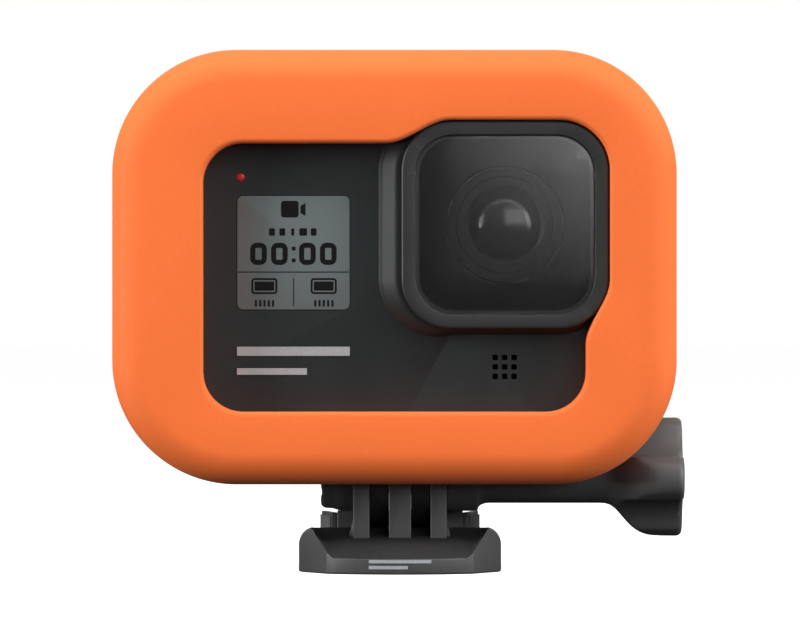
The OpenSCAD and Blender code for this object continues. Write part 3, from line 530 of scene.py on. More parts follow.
ORANGE = (0.97, 0.182, 0.036)
MATERIALS = {
    "foam": foam("orange foam", ORANGE),
    "body": moulded("matt black housing", (0.019, 0.0232, 0.0238), 0.48, 0.3, 3.5, 0.01),
    "bezel": moulded("satin black bezel", (0.027, 0.0275, 0.0275), 0.42, 0.35, 4.0, 0.006),
    "buckle": moulded("grey-black buckle", (0.068, 0.068, 0.069), 0.42, 0.5, 2.5, 0.012),
    # the deck's darker colour is painted shade, standing in for the float's shadow over the buckle's deck
    "deck": moulded("buckle deck with painted shade", (0.02, 0.02, 0.0205), 0.75, 0.25, 3.5, 0.012),
    "screw": moulded("black thumb screw", (0.1, 0.1, 0.101), 0.45, 0.5, 2.5, 0.012),
    "finger": moulded("black finger", (0.026, 0.026, 0.027), 0.45, 0.3, 3.0, 0.01),
    "steel": metal("bright steel", (0.62, 0.62, 0.64), 0.28),
    "glass": clear_glass("lens window glass", (0.86, 0.87, 0.87), 0.0, 0.11),
    "mask": gloss("black lens mask", (0.004, 0.004, 0.004), 0.32, specular=0.12),
    "ring": metal("black anodised ring", (0.022, 0.022, 0.023), 0.45),
    "dome": gloss("dark coated lens", (0.005, 0.003, 0.0035), 0.2, smudge=0.03, specular=0.75),
    "lens": clear_glass("inner lens glass", (0.8, 0.85, 0.9)),
    "screen": gloss("black touch glass", (0.006, 0.006, 0.007), 0.05, coat=0.6, smudge=0.08),
    "panel": gloss("dark display panel", (0.02, 0.022, 0.03), 0.3),
    "lcd": liquid_crystal("grey display ground", (0.148, 0.178, 0.18)),
    "ink": gloss("black display ink", (0.003, 0.003, 0.003), 0.5, specular=0.2),
    "led": glowing("red status light", (0.45, 0.012, 0.02), 0.25),
    "print": printed("silver print", (0.42, 0.44, 0.46)),
    "mesh": moulded("black grille cloth", (0.004, 0.004, 0.004), 0.8, 0.2, 5.0, 0.05, 0.0),
    "board": board("green circuit board", (0.02, 0.09, 0.035)),
    "plate": metal("bare aluminium", (0.75, 0.76, 0.78), 0.35, (1, 12, 1)),
    "wrap": gloss("battery wrap", (0.03, 0.045, 0.08), 0.35),
    "rubber": moulded("dark rubber", (0.02, 0.02, 0.021), 0.75, 0.3, 2.0, 0.02, 0.0),
    "sensor": gloss("sensor glass", (0.08, 0.12, 0.1), 0.1),
}


# ---------------------------------------------------------------- foam float

LIP = 0.7            # rounding of the opening's front edge
EDGE = 5.0           # rounding of the float's outer edges
FLARE = 2.0          # rounding of the rear window's mouth
SLEEVE_R = 19.0      # corner radius of the float
FOAM_GAP = 0.15      # between the foam and the camera
OPEN_W, OPEN_H, OPEN_R = CAM_W - 7.7, CAM_H - 7.5, 6.1
REAR_RIM = 5.0       # how far the foam reaches over the camera's back
BEZEL_OPEN = BEZEL + 2 * FOAM_GAP
BLEND_LEN = 9.8      # length of the curves between the face's opening and the bezel's


def ease(t):
    return t * t * (3 - 2 * t)


def opening_outline():
    """The float's front opening about the camera's middle: face, bezel, and the curves that join them."""
    lx, lz = LENS_X - CAM_X, LENS_Z - CAM_Z
    half_w, half_h, r = OPEN_W / 2, OPEN_H / 2, OPEN_R
    right, top, br = lx + BEZEL_OPEN / 2, lz + BEZEL_OPEN / 2, BEZEL_R
    pts = []

    def corner(cx, cz, radius, start, steps=24):
        for k in range(steps + 1):
            a = math.radians(start + 90 * k / steps)
            pts.append((cx + radius * math.cos(a), cz + radius * math.sin(a)))

    def rise(p, q, steps=28):
        """A smooth S from p to q; the curve leaves and meets both ends along its longer way."""
        long_x = abs(q[0] - p[0]) > abs(q[1] - p[1])
        for k in range(1, steps):
            t = k / steps
            u, v = (t, ease(t)) if long_x else (ease(t), t)
            pts.append((p[0] + (q[0] - p[0]) * u, p[1] + (q[1] - p[1]) * v))

    corner(-half_w + r, -half_h + r, r, 180)
    corner(half_w - r, -half_h + r, r, 270)
    side_end = lz - BEZEL_OPEN / 2 + br
    pts.append((half_w, side_end - BLEND_LEN))
    rise((half_w, side_end - BLEND_LEN), (right, side_end))
    pts.append((right, side_end))
    corner(right - br, top - br, br, 0)
    top_end = lx - BEZEL_OPEN / 2 + br
    pts.append((top_end, top))
    rise((top_end, top), (top_end - BLEND_LEN, half_h))
    pts.append((top_end - BLEND_LEN, half_h))
    corner(-half_w + r, half_h - r, r, 90)
    return np.array(pts)


def sleeve_body():
    """The foam round the camera as one loop: outside, front opening, pocket, rear window, outside again."""
    front, back = sleeve_low[1], sleeve_high[1]
    at = np.array([CAM_X, CAM_Z])
    outer, out_n = rounded_rect(extent("float_sleeve"), extent("float_sleeve", 2), SLEEVE_R, 40, 56)
    outer = outer + middle_xz("float_sleeve") - at

    def towards_outer(outline):
        return ray_sample(outline, np.zeros(2), unit(outer))

    window = towards_outer(opening_outline())
    pocket = towards_outer(rounded_rect(CAM_W + 2 * FOAM_GAP, CAM_H + 2 * FOAM_GAP, CAM_R)[0])
    rear = towards_outer(rounded_rect(CAM_W - 2 * REAR_RIM, CAM_H - 2 * REAR_RIM, OPEN_R)[0])
    face, floor = FACE_Y - FOAM_GAP, BACK_Y + FOAM_GAP
    levels = round_off(outer, -out_n, EDGE, front, 1, 12)
    levels += round_off(window, path_normals(window), LIP, front)[::-1]
    levels += [(window, face), (pocket, face), (pocket, floor), (rear, floor)]
    levels += round_off(rear, path_normals(rear), FLARE, back, -1, 6)
    levels += round_off(outer, -out_n, EDGE, back, -1, 12)[::-1]
    return stack("float_foam", levels, at, caps=False)


def dish_cutter(axis, centre):
    """The bore that a button's foam pad fills, and the shallow dish round its mouth."""
    bore_r = extent("shutter_pad") / 2 + 0.35
    skin = sleeve_high[axis]
    profile = [(bore_r, housing_high[axis] - 1), (bore_r, skin - 2.4), (9.4, skin - 2.4), (10.0, skin - 1.7),
               (10.6, skin + 1)]
    return rod("dish", axis, profile, centre, 96)


def sleeve_cutters():
    """Room for the prongs and fingers, the thumb screw's hub, neck and knob, and the two button pads."""
    ceiling = housing_low[2] + 0.1
    bay = rounded_rect(22.0, 17.6, 2.0, 6, 1)[0] + np.array([-2.3, 0])
    hub_r, neck_end, knob_end = 5.75, 30.8, 39.2
    slot = [(-hub_r, PIVOT_Z), (hub_r, PIVOT_Z), (hub_r, ceiling), (-hub_r, ceiling)]
    channel = [(hub_r, 4.0), (hub_r, neck_end), (hub_r + 0.1, neck_end + 0.1), (11.5, knob_end), (11.5, 60.0)]
    return [prism_z("bay", bay, sleeve_low[2] - 3, ceiling), prism_x("slot", slot, 4.0, neck_end),
            pivot_rod("channel", channel, 96), dish_cutter(2, (middle("shutter_pad")[0], 0, 0)),
            dish_cutter(0, (0, 0, middle("mode_pad")[2]))]


def float_sleeve():
    obj = cut(sleeve_body(), *sleeve_cutters())
    finish_piece(obj, "camera", "float_sleeve", "foam", 40)


def foam_pad(name, node, axis, body):
    """A round foam plug with a crowned, softly rounded outer face."""
    low, high = span(node)
    base, tip = low[axis], high[axis]
    r = extent(node, (axis + 1) % 3) / 2
    soft, crown = 1.2, 0.3
    profile = [(r * 0.98, base), (r, base + 0.3)]
    profile += [(r - soft * (1 - math.cos(a)), tip - crown - soft * (1 - math.sin(a))) for a in arc_steps(6)]
    profile += [((r - soft) * f, tip - crown * f * f) for f in 1 - np.arange(1, 7) / 7]
    obj = rod(name, axis, profile, middle(node), 72)
    finish_piece(obj, body, node, "foam", 40)


# ---------------------------------------------------------------- camera front

SKIRT, SKIRT_MIN, SKIRT_BELOW = 3.4, 0.25, 0.7       # widths of the lens bump's swell: left, elsewhere, below
# The swell's profile: share of its width out from the bezel, and height above the face
SWELL = [(1.08, 0.0), (1.02, 0.04), (0.97, 0.16), (0.92, 0.36), (0.86, 0.6), (0.76, 0.82), (0.66, 1.04),
         (0.56, 1.26), (0.46, 1.48), (0.36, 1.7), (0.29, 1.84), (0.22, 1.93), (0.14, 1.97), (0.0, 1.98)]


def front_shell():
    """Front plate with its lens bump: a swell slopes up on the left of the bezel and fades round below it."""
    outline, normal = rounded_rect(BEZEL - 0.1, BEZEL - 0.1, BEZEL_R, 28, 30)
    left, below = np.clip(-normal, 0, 1).T
    width = SKIRT_MIN + (SKIRT - SKIRT_MIN) * left + SKIRT_BELOW * below * (1 - left)
    lens = np.array([LENS_X - CAM_X, LENS_Z - CAM_Z])
    plate = ray_sample(rounded_rect(CAM_W, CAM_H, CAM_R)[0], lens, unit(outline + normal * width[:, None]))
    inset = path_normals(plate)
    window = rounded_rect(GLASS - 0.8, GLASS - 0.8, GLASS_R - 0.4, 28, 30)[0]
    hole = lens + unit(window) * (BARREL_R + 0.1)
    seat = span("lens_mask")[1][1] + 0.05
    levels = [(plate - inset * 0.02, COVER_BACK), (plate, FACE_Y + 0.5),
              (plate - inset * 0.15, FACE_Y + 0.15), (plate - inset * 0.25, FACE_Y)]
    for share, height in SWELL:
        levels.append((lens + outline + normal * (width * share + 0.02)[:, None], FACE_Y - height))
    levels += [(lens + outline, BEZEL_BACK), (lens + window, BEZEL_BACK), (lens + window, seat), (hole, seat),
               (hole, COVER_BACK)]
    return stack("front_shell", levels, (CAM_X, CAM_Z), caps=False)


def face_cutters():
    """Holes in the face for the display, the status light and the three by three grille."""
    start, end = FACE_Y - 1, COVER_BACK + 1
    gap, led_r, pitch, hole_w = 0.08, 0.66, 1.45, 0.86
    across, up = extent("front_lcd_window"), extent("front_lcd_window", 2)
    display = rounded_rect(across + 2 * gap, up + 2 * gap, 1.0, 8, 2)[0]
    square = rounded_rect(hole_w, hole_w, 0.2, 4, 1)[0]
    x, z = middle_xz("grille_membrane")
    return [slab("display_hole", display, start, end, middle_xz("front_lcd_window")),
            rod("light_hole", 1, [(led_r, start), (led_r, end)], middle("status_led"), 32),
            *(slab("grille_hole", square, start, end, (x + i * pitch, z + k * pitch))
              for i in (-1, 0, 1) for k in (-1, 0, 1))]


def front_cover():
    finish_piece(cut(front_shell(), *face_cutters()), "camera", "front_cover", "body", 32)


def lens_bezel():
    outer, out_n = rounded_rect(BEZEL, BEZEL, BEZEL_R, 28, 12)
    hole, hole_n = rounded_rect(GLASS + 0.2, GLASS + 0.2, GLASS_R + 0.1, 28, 12)
    shelf, seat = hole - hole_n * 0.6, GLASS_BACK + 0.02
    levels = [(outer, BEZEL_BACK)]
    levels += round_off(outer, -out_n, 0.4, BEZEL_FRONT)
    levels += round_off(hole, hole_n, 0.2, BEZEL_FRONT, 1, 3)[::-1]
    levels += [(hole, seat), (shelf, seat), (shelf, BEZEL_BACK)]
    obj = stack("bezel_frame", levels, (LENS_X, LENS_Z), caps=False)
    finish_piece(obj, "camera", "lens_bezel", "bezel", 40)


def lens_window():
    """Thick square window with a wide bevel round a flat that has its own rounded corners."""
    flat, flat_r = GLASS - 5.1, 1.9
    outer, out_n = rounded_rect(GLASS, GLASS, GLASS_R, 20, 12)
    top, top_n = rounded_rect(flat, flat, flat_r, 20, 12)
    levels = [(outer - out_n * 0.05, GLASS_BACK), (outer, GLASS_BACK - 0.1), (outer, BEZEL_FRONT + 0.05),
              (outer - out_n * 0.12, BEZEL_FRONT - 0.08), (top + top_n * 0.12, GLASS_FRONT + 0.03),
              (top - top_n * 0.1, GLASS_FRONT)]
    levels += [(top * share, GLASS_FRONT) for share in (0.75, 0.5, 0.25)]
    obj = stack("window_glass", levels, (LENS_X, LENS_Z))
    finish_piece(obj, "camera", "lens_cover_glass", "glass", 12)


def lens_plate():
    """The dark plate behind the window, stepped down to the lens."""
    (low, high), side = span("lens_mask"), extent("lens_mask")
    front, back = low[1], high[1]
    plate = rounded_rect(side, side, GLASS_R - 0.5, 20, 12)[0]
    hole = unit(plate) * (BARREL_R + 0.12)
    levels = [(plate, back), (plate, front)]
    levels += round_off(hole, unit(plate), 0.3, front, 1, 4)[::-1] + [(hole, back)]
    obj = stack("lens_plate", levels, (LENS_X, LENS_Z), caps=False)
    finish_piece(obj, "camera", "lens_mask", "mask")


LENS_HOLE_R = 5.6    # opening of the ring that holds the front lens


def lens_ring():
    (low, high), r = span("lens_retaining_ring"), extent("lens_retaining_ring") / 2
    front, back = low[1], high[1]
    profile = [(r, back), (r, front + 0.15), (r - 0.15, front), (LENS_HOLE_R + 0.5, front),
               (LENS_HOLE_R, front + 0.45), (LENS_HOLE_R, back)]
    obj = stack("lens_ring", [(circle(r, 96), y) for r, y in profile], (LENS_X, LENS_Z), caps=False)
    finish_piece(obj, "camera", "lens_retaining_ring", "ring")


def front_lens():
    """The domed front lens: a cap of a sphere over a short rim."""
    low, high = span("lens_front_element")
    apex, back = low[1], high[1]
    rim, rise = LENS_HOLE_R - 0.08, 2.4
    sphere_r = rim * rim / (2 * rise) + rise / 2
    profile = [(rim + 0.3, back), (rim + 0.3, back - 1.6)]
    for r in rim * (1 - np.arange(24) / 24):
        profile.append((r, apex + sphere_r - math.sqrt(sphere_r ** 2 - r * r)))
    obj = rod("front_lens", 1, [*profile, (0.02, apex)], (LENS_X, 0, LENS_Z), 96)
    finish_piece(obj, "camera", "lens_front_element", "dome", 30)


# ---------------------------------------------------------------- display marks

MARK_DEPTH = 0.03
MARK_Y = FACE_Y - 0.02


def flat_mark(outline, at):
    return slab("mark", outline, MARK_Y, MARK_Y + MARK_DEPTH, at)


def ring_mark(w, h, r, stroke, at):
    """A closed stroke with rounded corners, such as a nought or a battery's case."""
    outer = rounded_rect(w, h, r, 8, 2)[0]
    inner = rounded_rect(w - 2 * stroke, h - 2 * stroke, max(r - stroke, 0.05), 8, 2)[0]
    front, back = MARK_Y, MARK_Y + MARK_DEPTH
    return stack("mark", [(outer, front), (inner, front), (inner, back), (outer, back)], at, caps=False)


def bar(w, h, at, r=0.06):
    return flat_mark(rounded_rect(w, h, r, 3, 1)[0], at)


def display_marks():
    """A camera sign, a row of ticks, a timer at zero, and two battery signs over their ticks."""
    cx, cz = middle_xz("front_lcd_window")
    marks = [flat_mark(rounded_rect(2.7, 2.55, 0.45, 6, 1)[0], (cx - 0.55, cz + 6.7)),
             flat_mark([(0, -0.55), (0.75, -1.0), (0.75, 1.0), (0, 0.55)], (cx + 1.1, cz + 6.65))]
    for k, w in enumerate((0.9, 0.9, 0.45, 1.2, 0.9)):
        marks.append(bar(w, 1.15, (cx - 3.3 + 1.6 * k, cz + 3.2), 0.2))
    for x in (-5.35, -2.15, 2.15, 5.35):
        marks.append(ring_mark(2.55, 3.4, 1.0, 0.78, (cx + x, cz - 0.15)))
    for z in (0.65, -1.15):
        marks.append(bar(0.6, 0.6, (cx + 0.05, cz + z), 0.12))
    marks.append(bar(17.0, 0.16, (cx, cz - 2.95)))
    marks.append(bar(0.13, 4.3, (cx + 0.05, cz - 6.05)))
    for x in (cx - 4.45, cx + 4.65):
        marks.append(ring_mark(4.0, 2.45, 0.5, 0.3, (x, cz - 5.1)))
        marks.append(bar(3.0, 1.4, (x, cz - 5.1), 0.15))
        marks += [bar(0.32, 1.0, (x - 1.3 + 0.66 * k, cz - 7.75)) for k in range(5)]
    finish_piece(join_objects("display_signs", marks), "camera", "front_lcd_panel", "ink", replaces=False)


def display_window():
    low, high = span("front_lcd_window")
    front, back = low[1], high[1]
    outline, normal = rounded_rect(high[0] - low[0], high[2] - low[2], 0.9, 8, 4)
    levels = [(outline, back), (outline, front + 0.12), (outline - normal * 0.04, front + 0.04),
              (outline - normal * 0.12, front)]
    obj = stack("display_ground", levels, middle_xz("front_lcd_window"))
    finish_piece(obj, "camera", "front_lcd_window", "lcd", 40)


def status_light():
    low, high = span("status_led")
    r, front = (high[0] - low[0]) / 2, low[1]
    profile = [(r, high[1]), (r, front + 0.1), (r * 0.8, front + 0.03), (r * 0.4, front), (0.02, front)]
    obj = rod("status_light", 1, profile, middle("status_led"), 32)
    finish_piece(obj, "camera", "status_led", "led", 40)


# ---------------------------------------------------------------- buckle

SHOULDER = 6.7       # height of the buckle's shoulders
FLOOR = 5.2          # floor between the prongs
DECK_END = -2.7      # where the deck meets the shoulders' back
ARM_X, ARM_Y = 11.7, -5.3      # the squeeze arms' pivots
ARM_TOP = 4.6        # upper side of their flexing strips
NOSE_HALF, NOSE_SAG = 11.2, 3.3      # half the width of the nose's rounded edge, and how far it bows
FOOT_END = 8.0       # rear end of the buckle's foot
HEX = [(math.sin(TAU * k / 6), math.cos(TAU * k / 6)) for k in range(6)]


def hexagon(r):
    return [(r * p[0], PIVOT_Z + r * p[1]) for p in HEX]


def round_end(start, end):
    """The round end that the prongs and the fingers share, about the pivot, in degrees."""
    turns = np.radians(np.arange(start, end + 1, 4))
    return [(PRONG_R * math.cos(a), PIVOT_Z + PRONG_R * math.sin(a)) for a in turns]


def nose_tip(x):
    """How far forward the nose reaches at a distance x from its middle."""
    return NOSE_TIP + NOSE_SAG * (x / NOSE_HALF) ** 2


def nose_outline():
    """Plan of the buckle's foot: straight rails behind, a broad rounded nose with slanting ends in front."""
    half, cheek = BASE_HALF, NOSE_TIP + 11.2
    pts = [(half, FOOT_END), (-half, FOOT_END), (-half, cheek + 1), (-half + 0.15, cheek)]
    pts += [(x, nose_tip(x)) for x in np.linspace(-NOSE_HALF, NOSE_HALF, 25)]
    pts += [(half - 0.15, cheek), (half, cheek + 1)]
    return pts[::-1]


# How high the sunken deck stands at each distance behind the nose's edge
DECK = [(-1.0, 1.9), (0.03, 2.3), (0.12, 2.55), (0.35, 2.85), (0.7, 3.15), (1.2, 3.45), (1.9, 3.75),
        (2.8, 4.0), (4.0, 4.25), (6.0, 4.5), (10.0, 4.85), (14.0, 5.1), (30.0, 5.15)]


def smooth_max(a, b, k):
    h = max(k - abs(a - b), 0) / k
    return max(a, b) + h * h * k / 4


def deck_height(x, y):
    """The sunken deck: a rounded drop at the nose, a slope, a rise at the back, banks up to the shoulders."""
    slope = float(np.interp(y - nose_tip(x), *zip(*DECK)))
    rise = float(np.interp(y, [-8, -6, -4, DECK_END], [0, 0.25, 0.85, 1.55]))
    bank = 0.3 + (abs(x) - 9.7 - 0.08 * max(y - NOSE_TIP - 3, 0)) * 1.9
    return smooth_max(slope + rise, bank, 2.2)


def deck_cutter():
    """What is taken away above the deck: a height field in rows that follow the nose, closed by a lid."""
    lid = 14.0
    xs = np.linspace(-BASE_HALF - 1, BASE_HALF + 1, 91)
    near = [-1.0, 0.03, 0.07, 0.12, 0.2, 0.35, 0.5, 0.7, 0.95, 1.2, 1.55, 1.9, 2.3, 2.8, 3.4, 4.0, 4.8]
    rows = [[(x, nose_tip(x) + d) for x in xs] for d in near]
    rows += [[(x, y + (DECK_END + 0.5 - y) * f) for x, y in rows[-1]] for f in np.linspace(0, 1, 22)[1:]]
    n, m = len(xs), len(rows)
    up = n * m
    plan = [point for row in rows for point in row]
    verts = [(x, y, deck_height(x, y)) for x, y in plan] + [(x, y, lid) for x, y in plan]
    faces = []
    for a in (j * n + i for j in range(m - 1) for i in range(n - 1)):
        faces += [(a, a + n, a + n + 1, a + 1), (a + up, a + up + 1, a + up + n + 1, a + up + n)]
    rim = list(range(n)) + [j * n + n - 1 for j in range(1, m)] + [up - 1 - i for i in range(1, n)]
    rim += [j * n for j in range(m - 2, 0, -1)]
    faces += [(a, b, b + up, a + up) for a, b in zip(rim, rim[1:] + rim[:1])]
    return new_mesh("deck_space", verts, faces)


def shoulder_outline():
    """Front view of the foot: square below, with broadly rounded shoulders."""
    r = 2.4
    outline = [(-BASE_HALF, -1), (BASE_HALF, -1)]
    for s, start in ((1, 0), (-1, 90)):
        for a in arc_steps(8):
            b = math.radians(start) + a
            outline.append((s * (BASE_HALF - r) + r * math.cos(b), SHOULDER - r + r * math.sin(b)))
    return outline


def arm_socket_cutters():
    floor, ceiling = 2.3, ARM_TOP + 0.2
    out = []
    for s in (-1, 1):
        x = s * ARM_X
        out.append(rod("arm_socket", 2, [(1.66, floor), (1.66, ceiling)], (x, ARM_Y, 0), 40))
        x0, x1 = sorted((x - s * 2.5, x + s * 1.3))
        out.append(block("arm_slot", (x0, ARM_Y, floor), (x1, 0.3, ceiling)))
    return out


def buckle_foot():
    """The foot's solid nose and shoulders, low at the back, with the deck sunk between the shoulders."""
    foot = prism_z("buckle_body", nose_outline(), 0.0, SHOULDER)
    boolean(foot, slab("shoulders", shoulder_outline(), NOSE_TIP - 2, 12), "INTERSECT")
    cut(foot, block("low_back", (-BASE_HALF - 1, DECK_END, 2.2), (BASE_HALF + 1, 12, 20)))
    bevel(foot, 0.35, 3, 32)
    return cut(foot, deck_cutter())


# The nut boss on the prongs' left: radius and station along the pivot, from its end inwards
BOSS = [(4.0, -12.28), (4.3, -12.2), (4.62, -11.95), (4.78, -11.5), (4.82, -10.6), (4.93, -10.1), (5.1, -9.6),
        (5.22, -9.0), (5.24, -8.4), (5.24, -7.0)]


def buckle_uprights():
    """The three prongs on their block, the wall behind them, the nut boss and two slanting gussets."""
    uprights = block("mid_block", (-8.6, DECK_END - 1, 0.3), (8.6, FOOT_END, FLOOR))
    half, front, thick, top = 9.82, PRONG_R + 0.2, 2.2, 8.88
    join_solid(uprights, block("cross_wall", (-half, front, 0.02), (half, front + thick, top)))
    side = round_end(0, 180) + [(-PRONG_R, 2.0), (PRONG_R, 2.0)]
    for x0, x1 in ((-7.2, -4.7), (-1.7, 1.7), (4.7, 7.2)):
        join_solid(uprights, prism_x("prong", side, x0, x1))
    join_solid(uprights, pivot_rod("boss", BOSS, 72))
    for s in (-1, 1):
        wedge = [(s * x, FLOOR + z) for x, z in ((7.1, -1.5), (8.1, -1.5), (7.75, 0.4), (7.1, 3.4))]
        join_solid(uprights, slab("gusset", wedge[::s], -6.2, 6.2))
    return bevel(uprights, 0.2, 3, 32)


def paint_deck_shade(mesh):
    """Gives the sunken deck's upward faces a finer, duller grain than the sides have, and a darker colour
    that is painted shade for the float's shadow over the deck.
    """
    mesh.materials.append(MATERIALS["deck"])
    for face in mesh.polygons:
        x, y, z = face.center / MM
        # deck faces that look upwards, where the float shades them, take the darker material: painted shade
        if y < DECK_END and 2.4 < z < SHOULDER and abs(x) < 13.2 and face.normal.z > 0.12:
            face.material_index = 1


def buckle_base():
    base = join_solid(buckle_foot(), buckle_uprights())
    cut(base, bolt_bore(-20, 20), prism_x("nut_pocket", hexagon(4.67), -14, -8.0), *arm_socket_cutters())
    finish_piece(base, "buckle", "buckle_base", "buckle", 32)
    paint_deck_shade(base.data)


def ridge_tree():
    """Geometry nodes: a row of upright round ribs, for the grips of the squeeze arms."""
    tree = bpy.data.node_groups.new("grip ribs", "GeometryNodeTree")
    face = tree.interface
    face.new_socket("Geometry", in_out="OUTPUT", socket_type="NodeSocketGeometry")
    sizes = {}
    for name, kind, value in (("Ribs", "Int", 6), ("Rib radius", "Float", 0.0004),
                              ("Rib height", "Float", 0.005), ("First rib", "Vector", (0, 0, 0)),
                              ("Step", "Vector", (0, 0.001, 0)), ("Material", "Material", None)):
        socket = face.new_socket(name, in_out="INPUT", socket_type="NodeSocket" + kind)
        if value is not None:
            socket.default_value = value
        sizes[name] = socket.identifier
    add, link = tree.nodes.new, tree.links.new
    entry, leave = add("NodeGroupInput").outputs, add("NodeGroupOutput")
    line, rib = add("GeometryNodeMeshLine"), add("GeometryNodeMeshCylinder")
    line.mode = "OFFSET"
    rib.inputs["Vertices"].default_value = 20
    place, real = add("GeometryNodeInstanceOnPoints"), add("GeometryNodeRealizeInstances")
    paint = add("GeometryNodeSetMaterial")
    for start, node, end in ((entry["Ribs"], line, "Count"), (entry["First rib"], line, "Start Location"),
                             (entry["Step"], line, "Offset"), (entry["Rib radius"], rib, "Radius"),
                             (entry["Rib height"], rib, "Depth"), (line.outputs["Mesh"], place, "Points"),
                             (rib.outputs["Mesh"], place, "Instance"), (place.outputs[0], real, "Geometry"),
                             (real.outputs[0], paint, "Geometry"), (entry["Material"], paint, "Material"),
                             (paint.outputs[0], leave, "Geometry")):
        link(start, node.inputs[end])
    return tree, sizes


def grown(name, tree, ids, values):
    """Runs a geometry-nodes tree with the given sizes and keeps the result as a plain mesh."""
    obj = new_object(name, bpy.data.meshes.new(name))
    mod = obj.modifiers.new(name, "NODES")
    mod.node_group = tree
    for key, value in values.items():
        mod[ids[key]] = value
    return bake_modifiers(obj)


def squeeze_arm(side, tree, ids):
    """One arm: a flexing strip, a latch tooth, and a flared grip with upright ribs."""
    s = 1 if side == "right" else -1
    node = f"buckle_arm_{side}"
    low, high = span(node)
    bottom, top = low[2], high[2]
    half_t, strip_end = 0.8, 16.3
    inner, wall, y0, y1 = 9.75, 0.9, 10.3, 19.8

    def part(name, pts, height):
        return prism_z(name, [(s * x, y) for x, y in pts], bottom, height)

    body = rod("arm", 2, [(1.6, bottom), (1.6, ARM_TOP)], (s * ARM_X, ARM_Y, 0), 40)
    left, right = ARM_X - half_t, ARM_X + half_t
    strip = part("strip", [(left, ARM_Y), (right, ARM_Y), (right, strip_end), (left, strip_end)], ARM_TOP)
    outer, flare = inner + wall, 1.7
    grip = part("grip", [(inner, y0), (outer, y0), (outer + flare, y1 - 0.5), (outer + flare - 0.2, y1),
                         (inner + flare + 0.1, y1)], top)
    tooth = part("tooth", [(ARM_X + 0.7, 3.6), (ARM_X + 2.2, 6.0), (ARM_X + 0.7, 6.0)], bottom + 2)
    bevel(join_solid(body, strip, grip, tooth), 0.25, 2, 35)
    count = 6
    step = Vector((s * flare, y1 - y0, 0)) * MM / (count + 0.6)
    first = Vector((s * outer, y0, (bottom + top) / 2 - 0.1)) * MM + step
    ribs = grown("ribs", tree, ids, {
        "Ribs": count, "Rib radius": 0.4 * MM, "Rib height": (top - bottom - 0.9) * MM,
        "First rib": tuple(first), "Step": tuple(step), "Material": MATERIALS["buckle"]})
    finish_piece(join_objects(f"arm_{side}", [body, ribs]), f"arm_{side}", node, "buckle", 38)


# ---------------------------------------------------------------- thumb screw and fingers

# The knob's radius along its length, from where its neck begins to flare
BELL = [(-1.2, 4.0), (-0.4, 4.05), (0.4, 4.3), (1.1, 4.8), (1.8, 5.55), (2.6, 6.5), (3.4, 7.4), (4.3, 8.25),
        (5.2, 8.95), (6.2, 9.5), (7.2, 9.85), (8.4, 10.06), (9.6, 10.16), (10.7, 10.2)]


def smooth_min(a, b, k):
    h = np.clip(0.5 + 0.5 * (b - a) / k, 0, 1)
    return b * (1 - h) + a * h - k * h * (1 - h)


def lobed_outline(angle):
    """Radius at each angle of a knob with three round lobes and shallow scallops between them."""
    reach, lobe, scallop, dip = 7.2, 3.0, 8.0, 13.1      # centres and radii of the lobes and of the scallops
    lobe_ends = math.radians(16.6)
    off = np.abs((angle + math.pi / 3) % (TAU / 3) - math.pi / 3)
    away = math.pi / 3 - off
    tip = reach * np.cos(off) + np.sqrt(np.clip(lobe ** 2 - (reach * np.sin(off)) ** 2, 0, None))
    chord = (reach * 0.5 + lobe) / np.cos(away)
    inside = scallop ** 2 - (dip * np.sin(away)) ** 2
    hollow = np.where(inside > 0, dip * np.cos(away) - np.sqrt(np.clip(inside, 0, None)), 99.0)
    return smooth_min(np.where(off < lobe_ends, tip, chord), hollow, 0.5)


def knob_stations(angle):
    """The knob's radius round each station: hub, fillet, neck, bell, rounded rim and dished end."""
    hub, end = span("thumb_knob")[0][0], span("thumb_knob")[1][0]
    hub_r, hub_len, neck_r, bell_len, edge, soft, fillet = 5.24, 4.5, 4.0, 11.6, 0.9, 0.3, 1.75
    outline, even = lobed_outline(angle), np.ones(len(angle))
    stations = [(hub - 0.06, even * (hub_r - 0.08)), (hub + 0.02, even * hub_r)]
    for a in arc_steps(4):
        stations.append((hub + hub_len + soft * math.sin(a), even * (hub_r - soft * (1 - math.cos(a)))))
    for a in arc_steps(8)[1:]:
        stations.append((hub + hub_len + soft + fillet * (1 - math.cos(a)),
                         even * (hub_r - soft - (hub_r - soft - neck_r) * math.sin(a))))
    for t in np.linspace(BELL[0][0], BELL[-1][0], 44):
        stations.append((end - bell_len + t, smooth_min(even * np.interp(t, *zip(*BELL)), outline, 0.5)))
    rim = stations[-1][1]
    for a in arc_steps(6)[1:]:
        stations.append((end - edge * (1 - math.sin(a)), rim - edge * (1 - math.cos(a))))
    dish = ((0.88, end), (0.86, end - 0.3), (0.6, end - 0.4))
    return stations + [(x, (rim - edge) * share) for share, x in dish]


def thumb_knob():
    """Hub, neck and bell-shaped knob with three lobes, as one moulding bored for its bolt."""
    angle = np.arange(216) * TAU / 216
    rings = [np.stack([np.full(len(angle), x), -r * np.cos(angle), PIVOT_Z + r * np.sin(angle)], axis=1)
             for x, r in knob_stations(angle)]
    obj = new_mesh("thumb_grip", *loft(rings))
    cut(obj, bolt_bore(0, 60), prism_x("head_pocket", hexagon(4.68), span("thumb_bolt")[1][0] - 3.45, 60))
    finish_piece(obj, "thumb_screw", "thumb_knob", "screw", 38)


